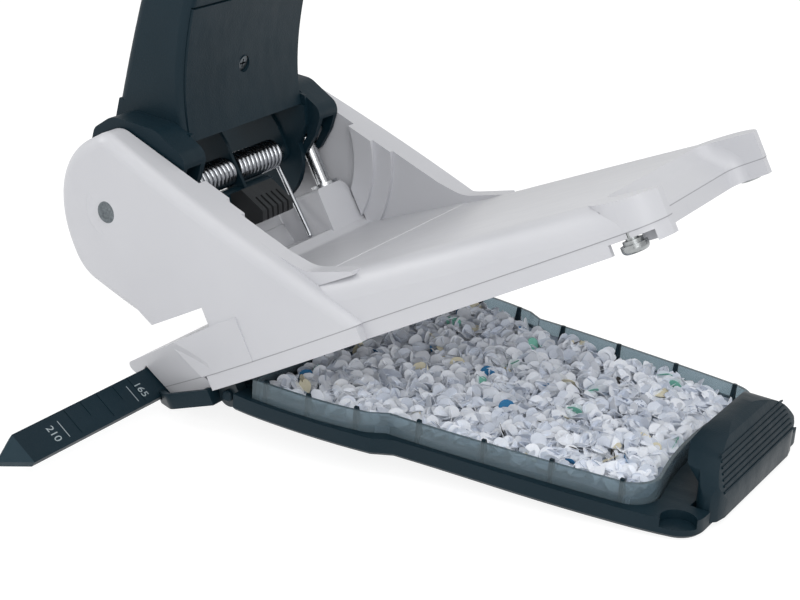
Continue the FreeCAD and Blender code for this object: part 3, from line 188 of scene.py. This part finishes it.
# soft overmoulded elastomer: darker, almost no gloss, dust settles in it
gripLook = {"fixed": {"IOR": 1.5, "Sheen Weight": 0.25, "Sheen Roughness": 0.4},
            "dark": "#101b21", "light": "#152229", "mottleMm": 18.0,
            "worn": "#28343a", "wornFrom": 0.6, "wornShare": 0.4, "streakMm": 3.0,
            "dust": "#5a6468", "dustShare": 0.08,
            "grainMm": 0.45, "grainStrength": 0.4, "rough": (0.7, 0.85)}
gripRubber = mouldedPlastic("softGripElastomer", gripLook)

# black nitrile rubber of the stop: dull, chalky along its ribs
stopLook = dict(gripLook, dark="#101316", light="#171b1f", worn="#2c3033", dustShare=0.12)
stopRubber = mouldedPlastic("nitrileStopRubber", stopLook)

# grey-blue polystyrene rail cap, a shade lighter than the rail it is pushed over
capLook = dict(darkLook, dark="#22343d", light="#2a3e48", worn="#4a5c64", dustShare=0.08, grainStrength=0.12)
capPlastic = mouldedPlastic("paleRailCapPolystyrene", capLook)

# smoke-tinted clear polystyrene, matt inside: paper shows through it as soft pale patches
linerLook = {"fixed": {"Transmission Weight": 0.7, "IOR": 1.3}, "dark": "#7f949e", "light": "#9fb1ba",
             "flowScale": 45.0, "rough": (0.1, 0.18), "frostMm": 2.5, "frostStrength": 0.05,
             "frostDepth": 0.0001, "noiseSpan": (0.3, 0.7)}


def smokedLiner(name, look):
    material, tree, shader = startMaterial(name, look["fixed"])
    place = addNode(tree, "ShaderNodeTexCoord").outputs["Object"]
    flow = addNode(tree, "ShaderNodeTexNoise", {"Vector": place, "Scale": look["flowScale"], "Detail": 3.0})
    tint = addNode(tree, "ShaderNodeMix", {0: flow.outputs["Fac"], 6: linearColour(look["dark"]),
                                           7: linearColour(look["light"])}, data_type="RGBA")
    tree.links.new(tint.outputs[2], shader.inputs["Base Color"])
    frost = addNode(tree, "ShaderNodeTexNoise", {"Vector": place, "Scale": 1000 / look["frostMm"],
                                                 "Detail": 3.0})
    rough = addNode(tree, "ShaderNodeMapRange", {"Value": frost.outputs["Fac"],
                                                 "From Min": look["noiseSpan"][0],
                                                 "From Max": look["noiseSpan"][1],
                                                 "To Min": look["rough"][0], "To Max": look["rough"][1]})
    tree.links.new(rough.outputs["Result"], shader.inputs["Roughness"])
    relief = addNode(tree, "ShaderNodeBump", {"Height": frost.outputs["Fac"], "Strength": look["frostStrength"],
                                              "Distance": look["frostDepth"]})
    tree.links.new(relief.outputs["Normal"], shader.inputs["Normal"])
    return material


linerPlastic = smokedLiner("frostedSmokePolystyrene", linerLook)


def metalFinish(name, look):
    # drawn, turned or plated steel: lines along the work, a cloudy film and finger marks
    material, tree, shader = startMaterial(name, {"Metallic": 1.0})
    place = addNode(tree, "ShaderNodeTexCoord").outputs["Object"]
    film = addNode(tree, "ShaderNodeTexNoise", {"Vector": place, "Scale": 1000 / look["filmMm"], "Detail": 4.0})
    tint = addNode(tree, "ShaderNodeMix", {0: film.outputs["Fac"], 6: linearColour(look["dark"]),
                                           7: linearColour(look["light"])}, data_type="RGBA")
    tree.links.new(tint.outputs[2], shader.inputs["Base Color"])
    lay = addNode(tree, "ShaderNodeMapping", {"Vector": place, "Scale": look["lay"]})
    lines = addNode(tree, "ShaderNodeTexNoise", {"Vector": lay.outputs[0], "Scale": 1000 / look["lineMm"],
                                                 "Detail": 2.0})
    rough = addNode(tree, "ShaderNodeMapRange", {"Value": lines.outputs["Fac"],
                                                 "From Min": look["noiseSpan"][0],
                                                 "From Max": look["noiseSpan"][1],
                                                 "To Min": look["rough"][0], "To Max": look["rough"][1]})
    tree.links.new(rough.outputs["Result"], shader.inputs["Roughness"])
    relief = addNode(tree, "ShaderNodeBump", {"Height": lines.outputs["Fac"], "Strength": look["relief"],
                                              "Distance": look["lineDepth"]})
    tree.links.new(relief.outputs["Normal"], shader.inputs["Normal"])
    return material


# ground tool steel of punches, pins and die plate: bright with fine grinding lines
groundLook = {"dark": "#b4b7bb", "light": "#d2d4d6", "filmMm": 6.0, "lineMm": 0.35, "lay": (0.1, 1.0, 1.0),
              "rough": (0.18, 0.34), "relief": 0.2, "lineDepth": 0.0001, "noiseSpan": (0.25, 0.75)}
groundSteel = metalFinish("groundToolSteel", groundLook)
# hard drawn spring wire: glossier, die lines along it and a light oil film
springLook = dict(groundLook, dark="#a8abb0", light="#c9ccd0", filmMm=3.0, lineMm=0.3, lay=(1.0, 0.6, 0.6),
                  rough=(0.14, 0.28), relief=0.12)
springSteel = metalFinish("drawnSpringWire", springLook)
# blackened pin steel: dark grey, dimpled where the knurl was rolled
blackenedLook = dict(groundLook, dark="#3a4146", light="#8d9498", filmMm=0.9, lineMm=0.7, lay=(1.0, 1.0, 1.0),
                     rough=(0.3, 0.5), relief=0.5)
blackenedSteel = metalFinish("blackenedPinSteel", blackenedLook)
# zinc plated screws: slightly milky, spangled plating with rubbed driver marks
zincLook = dict(groundLook, dark="#8c9092", light="#b9bcbc", filmMm=1.6, lineMm=0.5, lay=(1.0, 1.0, 1.0),
                rough=(0.22, 0.42), relief=0.25)
zincPlate = metalFinish("milkyZincPlate", zincLook)

finishes = {
    shellPlastic: ["housing", "base_frame"],
    darkPlastic: ["front_pan", "chip_chute", "tray_base", "tray_grip", "lever_body", "lever_panel",
                  "spring_sleeves", "guide_rail", "hinge_pins"],
    capPlastic: ["rail_tip"],
    gripRubber: ["handle_grip"],
    stopRubber: ["stop_block"],
    linerPlastic: ["tray_bin"],
    groundSteel: ["die_plate", "guide_bush_left", "guide_bush_right", "punch_left", "punch_right",
                  "cross_pin_left", "cross_pin_right", "spring_rod"],
    springSteel: ["rail_clip", "torsion_spring_left", "torsion_spring_right"],
    # the panel screw takes this dark finish as painted shade for the recess it sits in
    blackenedSteel: ["pivot_pin_left", "pivot_pin_right", "panel_screw"],
    zincPlate: ["latch_screws", "chute_screws"],
}
for finish, names in finishes.items():
    for name in names:
        nodes[name].data.materials.clear()
        nodes[name].data.materials.append(finish)
print("finishes on the moulded and metal pieces")


def applyModifier(piece, modifier):
    bpy.context.view_layer.objects.active = piece
    bpy.ops.object.modifier_apply(modifier=modifier.name)


def copyPiece(name, master, place):
    # a copy with its own mesh, moved within that mesh
    mesh = master.data.copy()
    mesh.transform(place)
    piece = bpy.data.objects.new(name, mesh)
    bpy.context.scene.collection.objects.link(piece)
    return piece


def joinPieces(name, pieces):
    bpy.ops.object.select_all(action="DESELECT")
    for piece in pieces:
        piece.select_set(True)
    bpy.context.view_layer.objects.active = pieces[0]
    bpy.ops.object.join()
    joined = bpy.context.object
    joined.name = name
    return joined


# uncoated copier paper: dead matt, fibrous, with stray bits of grey print
paperGrain = {"fixed": {"Roughness": 0.86, "IOR": 1.47}, "fibreMm": 0.5, "specklesMm": 1.1, "patchMm": 9.0,
              "inkFade": 0.03, "fibreStrength": 0.3, "fibreDepth": 0.00008}


def paperStock(name, look):
    material, tree, shader = startMaterial(name, paperGrain["fixed"])
    place = addNode(tree, "ShaderNodeTexCoord").outputs["Object"]
    fibre = addNode(tree, "ShaderNodeTexNoise", {"Vector": place, "Scale": 1000 / paperGrain["fibreMm"],
                                                 "Detail": 3.0})
    sheet = addNode(tree, "ShaderNodeMix", {0: fibre.outputs["Fac"], 6: linearColour(look["shade"]),
                                            7: linearColour(look["paper"])}, data_type="RGBA")
    speckles = addNode(tree, "ShaderNodeTexNoise", {"Vector": place, "Scale": 1000 / paperGrain["specklesMm"],
                                                    "Detail": 1.0})
    patch = addNode(tree, "ShaderNodeTexNoise", {"Vector": place, "Scale": 1000 / paperGrain["patchMm"],
                                                 "Detail": 1.0})
    printAndSeamShade = addNode(tree, "ShaderNodeMath", {0: speckles.outputs["Fac"], 1: patch.outputs["Fac"]},
                    operation="MULTIPLY")
    mask = addNode(tree, "ShaderNodeValToRGB", {"Fac": printAndSeamShade.outputs[0]})
    rampStops(mask, [(look["inkFrom"], 0.0), (look["inkFrom"] + paperGrain["inkFade"], 1.0)])
    printed = addNode(tree, "ShaderNodeMix", {0: mask.outputs["Color"], 6: sheet.outputs[2],
                                              7: linearColour(look["ink"])}, data_type="RGBA")
    tree.links.new(printed.outputs[2], shader.inputs["Base Color"])
    relief = addNode(tree, "ShaderNodeBump", {"Height": fibre.outputs["Fac"],
                                              "Strength": paperGrain["fibreStrength"],
                                              "Distance": paperGrain["fibreDepth"]})
    tree.links.new(relief.outputs["Normal"], shader.inputs["Normal"])
    return material


# room inside the liner in millimetres: stations are (distance from the hinge, half width)
chipBin = {"stations": [(12.4, 56.6), (22.0, 56.8), (40.0, 55.8), (54.4, 53.2), (60.0, 49.7), (80.0, 48.9),
                        (100.0, 47.4), (120.0, 45.6), (140.0, 43.4), (145.6, 34.0)],
           "rear": 143.2, "rearBow": 3.4, "rearBowHalf": 33.0, "floor": 0.95, "rim": 9.6}


def binHalf(v):
    stations = chipBin["stations"]
    for (v0, h0), (v1, h1) in zip(stations, stations[1:]):
        if v <= v1:
            return h0 + (h1 - h0) * (v - v0) / (v1 - v0)
    return stations[-1][1]


def rearLimit(x):
    # the liner's end wall bows inward between its corners
    return chipBin["rear"] + chipBin["rearBow"] * min(1.0, abs(x) / chipBin["rearBowHalf"]) ** 2


# pressed paper under the loose top layers, in millimetres; its dark blue-grey colours are painted shade for the
# gaps between the chips
paperBed = {"cells": (44, 60), "front": 13.0, "length": 130.0, "sideGap": 0.4, "rearGap": 0.3,
            "height": 4.8, "mounds": 0.75, "lumps": 0.7, "edge": 0.499, "seed": 11,
            "swell": (0.11, 1.3, 0.083), "ripple": (0.23, 0.17, 0.6),
            "look": {"paper": "#b4becb", "shade": "#97a4b5", "ink": "#5d6878", "inkFrom": 0.45}}


def heapHeight(x, v):
    # a full drawer, shaken level, with shallow dips and mounds
    swellAcross, swellStart, swellAlong = paperBed["swell"]
    rippleAcross, rippleAlong, rippleShare = paperBed["ripple"]
    waves = math.sin(x * swellAcross + swellStart) * math.cos(v * swellAlong)
    waves += rippleShare * math.sin(x * rippleAcross - v * rippleAlong)
    return paperBed["height"] + paperBed["mounds"] * waves


def makeBed(material):
    look = paperBed
    bpy.ops.object.select_all(action="DESELECT")
    bpy.ops.mesh.primitive_grid_add(x_subdivisions=look["cells"][0], y_subdivisions=look["cells"][1], size=1.0)
    bed = bpy.context.object
    bed.name = "paperBed"
    bpy.ops.object.mode_set(mode="EDIT")
    bpy.ops.mesh.extrude_region_move(TRANSFORM_OT_translate={"value": (0, 0, 1)})
    bpy.ops.mesh.select_all(action="SELECT")
    bpy.ops.mesh.normals_make_consistent(inside=False)
    bpy.ops.object.mode_set(mode="OBJECT")
    dice = random.Random(look["seed"])
    for vertex in bed.data.vertices:
        across, along = vertex.co.x, vertex.co.y + 0.5
        x = across * 2 * (binHalf(look["front"] + along * look["length"]) - look["sideGap"])
        v = look["front"] + along * (rearLimit(x) - look["front"] - look["rearGap"])
        w = chipBin["floor"]
        if vertex.co.z > 0.5:
            inner = abs(across) < look["edge"] and abs(vertex.co.y) < look["edge"]
            w = heapHeight(x, v) + (dice.uniform(-look["lumps"], look["lumps"]) if inner else 0.0)
        vertex.co = (x / 1000, v / 1000, w / 1000)
    bed.data.materials.append(material)
    bed.data.transform(trayPlace)
    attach(bed, "tray")


# a disc from the die, in millimetres; its leaves are rolled and twisted by so many degrees
chipDisc = {"radius": 2.75, "thick": 0.11, "cells": (6, 2), "ends": 1.04, "smooth": 50,
            "leaves": [(35, 0), (80, 12), (115, -20), (150, 15), (-60, 18), (95, 35)]}


def makeChip(name, curl, twist):
    # a thin leaf rolled up by the punch's hollow end
    radius = chipDisc["radius"] / 1000
    bpy.ops.object.select_all(action="DESELECT")
    bpy.ops.mesh.primitive_grid_add(x_subdivisions=chipDisc["cells"][0], y_subdivisions=chipDisc["cells"][1],
                                    size=2.0)
    chip = bpy.context.object
    chip.name = name
    for vertex in chip.data.vertices:
        x, y = vertex.co.x, vertex.co.y
        vertex.co = (x * radius, y * radius * math.sqrt(chipDisc["ends"] - x * x), 0.0)
    for method, axis, angle in (("BEND", "Y", curl), ("TWIST", "X", twist)):
        deform = chip.modifiers.new("deform", "SIMPLE_DEFORM")
        deform.deform_method = method
        deform.deform_axis = axis
        deform.angle = math.radians(angle)
        applyModifier(chip, deform)
    paper = chip.modifiers.new("thickness", "SOLIDIFY")
    paper.thickness = chipDisc["thick"] / 1000
    paper.offset = 0.0
    applyModifier(chip, paper)
    return chip


# loose chips in three layers; shares of the stocks add up to the whole heap
heap = {"count": 2400, "tip": 0.6, "layers": (0.5, 1.3, 2.1), "seed": 7, "from": 15.4, "to": 144.0,
        "sideGap": 2.8, "rearGap": 2.9, "rearSpread": 3, "tipBase": 0.5, "tipPerLayer": 0.45,
        "settle": (-0.3, 0.5), "steepest": 1.5,
        "stocks": [("chipsWhite", 0.70, {"paper": "#fbfcff", "shade": "#e9f0fa", "ink": "#8f95a8",
                                         "inkFrom": 0.5}),
                   # a darker bluish copy of the white paper: painted lavender shade among the chips
                   ("chipsPaintedShade", 0.272, {"paper": "#e9eef7", "shade": "#d6deeb", "ink": "#8d99b0",
                                             "inkFrom": 0.45}),
                   ("chipsCream", 0.012, {"paper": "#efe9d2", "shade": "#e0d8bc", "ink": "#8a8060",
                                          "inkFrom": 0.4}),
                   ("chipsBlue", 0.006, {"paper": "#3b86b8", "shade": "#2c6f9e", "ink": "#e8eef4",
                                         "inkFrom": 0.4}),
                   ("chipsGreen", 0.006, {"paper": "#8fcfbd", "shade": "#76bba8", "ink": "#4b6f66",
                                          "inkFrom": 0.4}),
                   ("chipsDark", 0.004, {"paper": "#33302f", "shade": "#262423", "ink": "#5a5654",
                                         "inkFrom": 0.4})]}


def chipPlaces():
    # places and turns of the loose chips, none higher than the rim
    dice = random.Random(heap["seed"])
    places = []
    while len(places) < heap["count"]:
        v = dice.uniform(heap["from"], heap["to"])
        half = binHalf(v) - heap["sideGap"]
        x = dice.uniform(-half, half)
        v = min(v, rearLimit(x) - heap["rearGap"] - dice.uniform(0, heap["rearSpread"]))
        layer = heap["layers"][len(places) % len(heap["layers"])]
        spread = heap["tip"] * (heap["tipBase"] + layer * heap["tipPerLayer"])
        turn = Euler((dice.gauss(0, spread), dice.gauss(0, spread), dice.uniform(0, math.tau)))
        w = heapHeight(x, v) + layer + dice.uniform(*heap["settle"])
        lift = chipDisc["radius"] * abs(math.sin(min(abs(turn.x) + abs(turn.y), heap["steepest"])))
        places.append((x, v, min(w, chipBin["rim"] - lift), turn))
    dice.shuffle(places)
    return places


def scatterChips(name, masters, material, places):
    # copies of the master discs, each turned and tipped, joined as one drift
    copies = []
    for index, (x, v, w, turn) in enumerate(places):
        place = Matrix.Translation((x / 1000, v / 1000, w / 1000)) @ turn.to_matrix().to_4x4()
        copies.append(copyPiece(name, masters[index % len(masters)], place))
    drift = joinPieces(name, copies)
    drift.data.materials.clear()
    drift.data.materials.append(material)
    drift.data.transform(trayPlace)
    bpy.ops.object.shade_smooth_by_angle(angle=math.radians(chipDisc["smooth"]))
    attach(drift, "tray")


def fillBin():
    masters = []
    for number, (curl, twist) in enumerate(chipDisc["leaves"]):
        masters.append(makeChip("chipMaster" + str(number), curl, twist))
    places = chipPlaces()
    start = 0
    for name, share, look in heap["stocks"]:
        end = min(len(places), start + max(4, round(share * heap["count"])))
        scatterChips(name, masters, paperStock(name + "Paper", look), places[start:end])
        start = end
    # the bed's dark colours paint the shade between the chips
    makeBed(paperStock("paperBedPaintedShade", paperBed["look"]))
    for master in masters:
        bpy.data.objects.remove(master)
    print("paper chips in the bin:", start)


fillBin()


# edges sharper than so many degrees are rounded, or kept crisp when a surface is smoothed
shaping = {"roundFrom": 32, "crispFrom": 30}


def prism(name, corners, axis, ends, place):
    # a flat outline drawn on the shut machine, pulled along x, v or w, then swung open
    bpy.ops.object.select_all(action="DESELECT")
    bpy.ops.mesh.primitive_circle_add(vertices=len(corners), radius=0.01, fill_type="NGON")
    block = bpy.context.object
    block.name = name
    start, length = ends[0] / 1000, (ends[1] - ends[0]) / 1000
    for vertex, (a, b) in zip(block.data.vertices, corners):
        spot = [a / 1000, b / 1000]
        spot.insert(axis, start)
        vertex.co = spot
    pull = [0.0, 0.0, 0.0]
    pull[axis] = length
    bpy.ops.object.mode_set(mode="EDIT")
    bpy.ops.mesh.select_all(action="SELECT")
    bpy.ops.mesh.extrude_region_move(TRANSFORM_OT_translate={"value": pull})
    bpy.ops.mesh.select_all(action="SELECT")
    bpy.ops.mesh.normals_make_consistent(inside=False)
    bpy.ops.object.mode_set(mode="OBJECT")
    block.data.transform(place)
    return block


def carve(piece, tool, operation):
    # boolean with a tool that is thrown away afterwards
    cut = piece.modifiers.new("cut", "BOOLEAN")
    cut.operation = operation
    cut.solver = "EXACT"
    cut.object = tool
    applyModifier(piece, cut)
    bpy.data.objects.remove(tool)


def softenEdges(piece, widthMm, steps):
    bevel = piece.modifiers.new("soften", "BEVEL")
    bevel.width = widthMm / 1000
    bevel.segments = steps
    bevel.limit_method = "ANGLE"
    bevel.angle_limit = math.radians(shaping["roundFrom"])
    applyModifier(piece, bevel)


def dress(piece, finish, body):
    # one finish, smooth where the shape is round, riding on its body
    piece.data.materials.clear()
    piece.data.materials.append(finish)
    bpy.ops.object.select_all(action="DESELECT")
    piece.select_set(True)
    bpy.context.view_layer.objects.active = piece
    bpy.ops.object.shade_smooth_by_angle(angle=math.radians(shaping["crispFrom"]))
    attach(piece, body)


# front pan under the jaw: its sides sweep up from the foot in the middle
frontPan = {"footHalf": 25.0, "hinge": (-4.0, -1.3), "front": (-44.0, 5.0), "below": -12.0, "reach": 64.0,
            "merge": 0.000001}


def makeFrontPan():
    look = frontPan
    pan = copyPiece("sweptFrontPan", nodes["front_pan"], Matrix.Identity(4))
    bpy.ops.object.select_all(action="DESELECT")
    pan.select_set(True)
    bpy.context.view_layer.objects.active = pan
    bpy.ops.object.mode_set(mode="EDIT")
    bpy.ops.mesh.select_all(action="SELECT")
    bpy.ops.mesh.remove_doubles(threshold=look["merge"])
    bpy.ops.object.mode_set(mode="OBJECT")
    under = [look["hinge"], (look["hinge"][0], look["below"]), (look["front"][0], look["below"]), look["front"]]
    for side in (-1, 1):
        ends = sorted((side * look["footHalf"], side * look["reach"]))
        carve(pan, prism("panCutter", under, 0, ends, bodyPlace), "DIFFERENCE")
    dress(pan, darkPlastic, "machine")
    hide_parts("front_pan")


makeFrontPan()
print("front pan swept up at its sides")


# thumb grip: a domed lobe leaning over the bin's end, ribbed where the thumb pulls
thumbGrip = {"side": [(158.7, -1.0), (158.7, 9.4), (153.7, 15.0), (151.6, 19.2), (152.6, 21.6), (155.4, 23.0),
                      (158.8, 23.0), (161.4, 21.4), (162.7, 18.6), (167.5, 7.0), (167.2, -1.0)],
             "plan": [(-28.6, 150.0), (-29.2, 158.4), (-31.8, 160.2), (-33.0, 162.6), (-32.6, 164.4),
                      (-30.2, 166.4), (-25.0, 167.4), (25.0, 167.4), (30.2, 166.4), (32.6, 164.4),
                      (33.0, 162.6), (31.8, 160.2), (29.2, 158.4), (28.6, 150.0)],
             "half": 33.2, "foot": -1.0, "shoulder": 3.0, "crown": 23.4, "archSteps": 36, "fullness": 0.9,
             "depth": (148.0, 172.0), "height": (-4.0, 30.0), "soften": (0.7, 3)}
gripRibs = {"count": 7, "top": (162.8, 18.2), "low": (166.9, 8.3), "halfTop": 25.0, "halfLow": 28.4,
            "outline": [(-0.62, 0.0), (0.0, -0.434), (0.465, 0.1), (0.186, 0.496)]}


def gripArch():
    # rounded dome across the grip, fuller than an ellipse at its shoulders
    look = thumbGrip
    arch = [(look["half"], look["foot"])]
    for k in range(look["archSteps"] + 1):
        turn = math.pi * k / look["archSteps"]
        x = look["half"] * math.copysign(abs(math.cos(turn)) ** look["fullness"], math.cos(turn))
        rise = (look["crown"] - look["shoulder"]) * math.sin(turn) ** look["fullness"]
        arch.append((x, look["shoulder"] + rise))
    return arch + [(-look["half"], look["foot"])]


def addGripRibs(grip):
    # one rib, copied down the slope, each a little longer than the one above
    look = gripRibs
    master = prism("gripRib", look["outline"], 0, (-1.0, 1.0), Matrix.Identity(4))
    for k in range(look["count"]):
        share = k / (look["count"] - 1)
        v, w = (top + (low - top) * share for top, low in zip(look["top"], look["low"]))
        half = look["halfTop"] + (look["halfLow"] - look["halfTop"]) * share
        place = trayPlace @ Matrix.Translation((0, v / 1000, w / 1000)) @ Matrix.Diagonal((half, 1, 1, 1))
        carve(grip, copyPiece("gripRib", master, place), "UNION")
    bpy.data.objects.remove(master)


def makeThumbGrip():
    look = thumbGrip
    grip = prism("thumbGrip", look["side"], 0, (-look["half"], look["half"]), trayPlace)
    carve(grip, prism("gripFront", gripArch(), 1, look["depth"], trayPlace), "INTERSECT")
    carve(grip, prism("gripPlan", look["plan"], 2, look["height"], trayPlace), "INTERSECT")
    softenEdges(grip, *look["soften"])
    addGripRibs(grip)
    dress(grip, darkPlastic, "tray")
    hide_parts("tray_grip")


makeThumbGrip()
print("thumb grip on the tray")


# dark web behind the springs, turning with the lever's hub
hubWeb = {"side": [(-26.0, 65.0), (-23.4, 58.4), (-8.4, 56.6), (-6.4, 62.4), (-9.6, 64.3), (-19.0, 64.3)],
          "half": 17.0, "soften": (0.5, 2)}


def makeHubWeb():
    web = prism("hubWeb", hubWeb["side"], 0, (-hubWeb["half"], hubWeb["half"]), bodyPlace)
    softenEdges(web, *hubWeb["soften"])
    dress(web, darkPlastic, "lever")


makeHubWeb()

# stiffening fins of the bin, a little proud of its rim; side is drawn from the wall inwards
binFins = {"stations": [15.7, 32.3, 49.7, 70.6, 93.7, 116.8, 139.8], "thick": 1.3, "into": 0.5,
           "side": [(0.0, 1.0), (0.0, 10.5), (-1.1, 10.5), (-4.4, 1.0)]}


def makeBinFins():
    look = binFins
    half = look["thick"] / 2
    fins = []
    for side in (-1, 1):
        outline = [(side * a, b) for a, b in look["side"]]
        master = prism("binFin", outline, 1, (-half, half), Matrix.Identity(4))
        for v in look["stations"]:
            x = side * (binHalf(v) + look["into"])
            fins.append(copyPiece("binFin", master, trayPlace @ Matrix.Translation((x / 1000, v / 1000, 0))))
        bpy.data.objects.remove(master)
    finSet = joinPieces("binFins", fins)
    dress(finSet, darkPlastic, "tray")


makeBinFins()

# low wall on the jaw's front edge, either side of the stop
jawRidge = {"side": [(-21.4, 44.6), (-21.2, 49.2), (-18.2, 49.2), (-17.6, 44.6)], "inner": 10.6, "outer": 25.3,
            "soften": (0.6, 3)}


def makeJawRidge():
    for name, side in (("jawRidgeLeft", -1), ("jawRidgeRight", 1)):
        ends = sorted((side * jawRidge["inner"], side * jawRidge["outer"]))
        ridge = prism(name, jawRidge["side"], 0, ends, bodyPlace)
        softenEdges(ridge, *jawRidge["soften"])
        dress(ridge, shellPlastic, "machine")


makeJawRidge()
print("web under the hub, fins on the bin and ridge on the jaw")


# figures and lines printed on the guide rail, in millimetres from the machine's middle
railPrint = {"ink": "#aeb9bd", "inkWorn": "#87949a", "wearMm": 0.6, "rough": 0.5, "height": 4.2, "raise": 0.03,
             "sink": -0.05, "topEdge": (-36.0, 17.3), "lean": 24.8, "middle": 6.2,
             "figures": [("210", 104.0), ("165", 60.5)], "ticks": [99.4, 64.9], "tickHalf": 3.4,
             "tickWidth": 0.28}


def railFace():
    # x along the rail, y down its broad face, z out of it
    lean = math.radians(railPrint["lean"])
    v, w = railPrint["topEdge"]
    face = Matrix.Identity(4)
    face.col[0][:3] = (1, 0, 0)
    face.col[1][:3] = (0, math.sin(lean), -math.cos(lean))
    face.col[2][:3] = (0, math.cos(lean), math.sin(lean))
    face.col[3][:3] = (0, v / 1000, w / 1000)
    return bodyPlace @ face


def printInk():
    # pad printed lacquer: thin, matt and a little broken
    material, tree, shader = startMaterial("railPrintInk", {"Roughness": railPrint["rough"]})
    place = addNode(tree, "ShaderNodeTexCoord").outputs["Object"]
    wear = addNode(tree, "ShaderNodeTexNoise", {"Vector": place, "Scale": 1000 / railPrint["wearMm"],
                                                "Detail": 3.0})
    tint = addNode(tree, "ShaderNodeMix", {0: wear.outputs["Fac"], 6: linearColour(railPrint["inkWorn"]),
                                           7: linearColour(railPrint["ink"])}, data_type="RGBA")
    tree.links.new(tint.outputs[2], shader.inputs["Base Color"])
    return material


def printFigure(text, x, ink):
    bpy.ops.object.select_all(action="DESELECT")
    bpy.ops.object.text_add()
    figure = bpy.context.object
    figure.name = "railFigure" + text
    figure.data.body = text
    figure.data.size = railPrint["height"] / 1000
    figure.data.extrude = railPrint["raise"] / 1000
    figure.data.align_x = "CENTER"
    figure.data.align_y = "CENTER"
    bpy.ops.object.convert(target="MESH")
    spot = Matrix.Translation((x / 1000, railPrint["middle"] / 1000, 0))
    figure.data.transform(railFace() @ spot @ Matrix.Rotation(math.radians(90), 4, "Z"))
    figure.data.materials.append(ink)
    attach(figure, "rail")


def printTick(name, x, ink):
    left, right = x - railPrint["tickWidth"] / 2, x + railPrint["tickWidth"] / 2
    top, low = railPrint["middle"] - railPrint["tickHalf"], railPrint["middle"] + railPrint["tickHalf"]
    outline = [(left, top), (right, top), (right, low), (left, low)]
    tick = prism(name, outline, 2, (railPrint["sink"], railPrint["raise"]), railFace())
    dress(tick, ink, "rail")


ink = printInk()
for text, x in railPrint["figures"]:
    printFigure(text, x, ink)
for number, x in enumerate(railPrint["ticks"]):
    printTick("railTick" + str(number), x, ink)
print("figures and ticks on the rail")


# floor, lamps and backdrop
studio = {"floor": "#e9e9ea", "floorRough": 0.9, "floorSize": 12.0, "glow": 0.86, "shadow": "#8a8a8a",
          "worldLight": 0.7, "worldSeen": 1.0, "aim": (0, 0.04, 0.08),
          "lamps": [{"name": "topLamp", "place": (0.15, 0.25, 1.3), "size": 1.1, "power": 3.3},
                    {"name": "frontLamp", "place": (1.0, 0.9, 0.75), "size": 0.9, "power": 6.4},
                    {"name": "sideLamp", "place": (0.5, -1.1, 0.7), "size": 0.7, "power": 3.5}]}


def paleFloor():
    # matt white board: seen as white by camera, metal and glass, and it keeps the shadow
    material, tree, shader = startMaterial("paleFloor", {"Base Color": linearColour(studio["floor"]),
                                                         "Roughness": studio["floorRough"]})
    rays = addNode(tree, "ShaderNodeLightPath")
    seen = addNode(tree, "ShaderNodeMath", {0: rays.outputs["Is Camera Ray"], 1: rays.outputs["Is Glossy Ray"]},
                   operation="MAXIMUM")
    seen = addNode(tree, "ShaderNodeMath", {0: seen.outputs[0], 1: rays.outputs["Is Transmission Ray"]},
                   operation="MAXIMUM")
    glow = addNode(tree, "ShaderNodeEmission", {"Color": (1, 1, 1, 1), "Strength": studio["glow"]})
    matt = addNode(tree, "ShaderNodeBsdfDiffuse", {"Color": linearColour(studio["shadow"])})
    bright = addNode(tree, "ShaderNodeAddShader", {0: glow.outputs[0], 1: matt.outputs[0]})
    mixed = addNode(tree, "ShaderNodeMixShader", {0: seen.outputs[0], 1: shader.outputs[0],
                                                  2: bright.outputs[0]})
    tree.links.new(mixed.outputs[0], tree.nodes["Material Output"].inputs["Surface"])
    return material


bpy.ops.object.select_all(action="DESELECT")
bpy.ops.mesh.primitive_plane_add(size=studio["floorSize"], location=(0, 0, 0))
floor = bpy.context.object
floor.name = "studioFloor"
floor.data.materials.append(paleFloor())

for lamp in studio["lamps"]:
    bpy.ops.object.light_add(type="AREA", location=lamp["place"])
    light = bpy.context.object
    light.name = lamp["name"]
    light.data.size = lamp["size"]
    light.data.energy = lamp["power"]
    aim = Vector(studio["aim"]) - Vector(lamp["place"])
    light.rotation_euler = aim.to_track_quat("-Z", "Y").to_euler()
world = bpy.data.worlds.new("studio")
bpy.context.scene.world = world
world.use_nodes = True
sky = world.node_tree.nodes["Background"]
sky.inputs["Color"].default_value = (1, 1, 1, 1)
rays = addNode(world.node_tree, "ShaderNodeLightPath")
level = addNode(world.node_tree, "ShaderNodeMapRange", {"Value": rays.outputs["Is Camera Ray"],
                                                        "To Min": studio["worldLight"],
                                                        "To Max": studio["worldSeen"]})
world.node_tree.links.new(level.outputs["Result"], sky.inputs["Strength"])
print("studio ready")
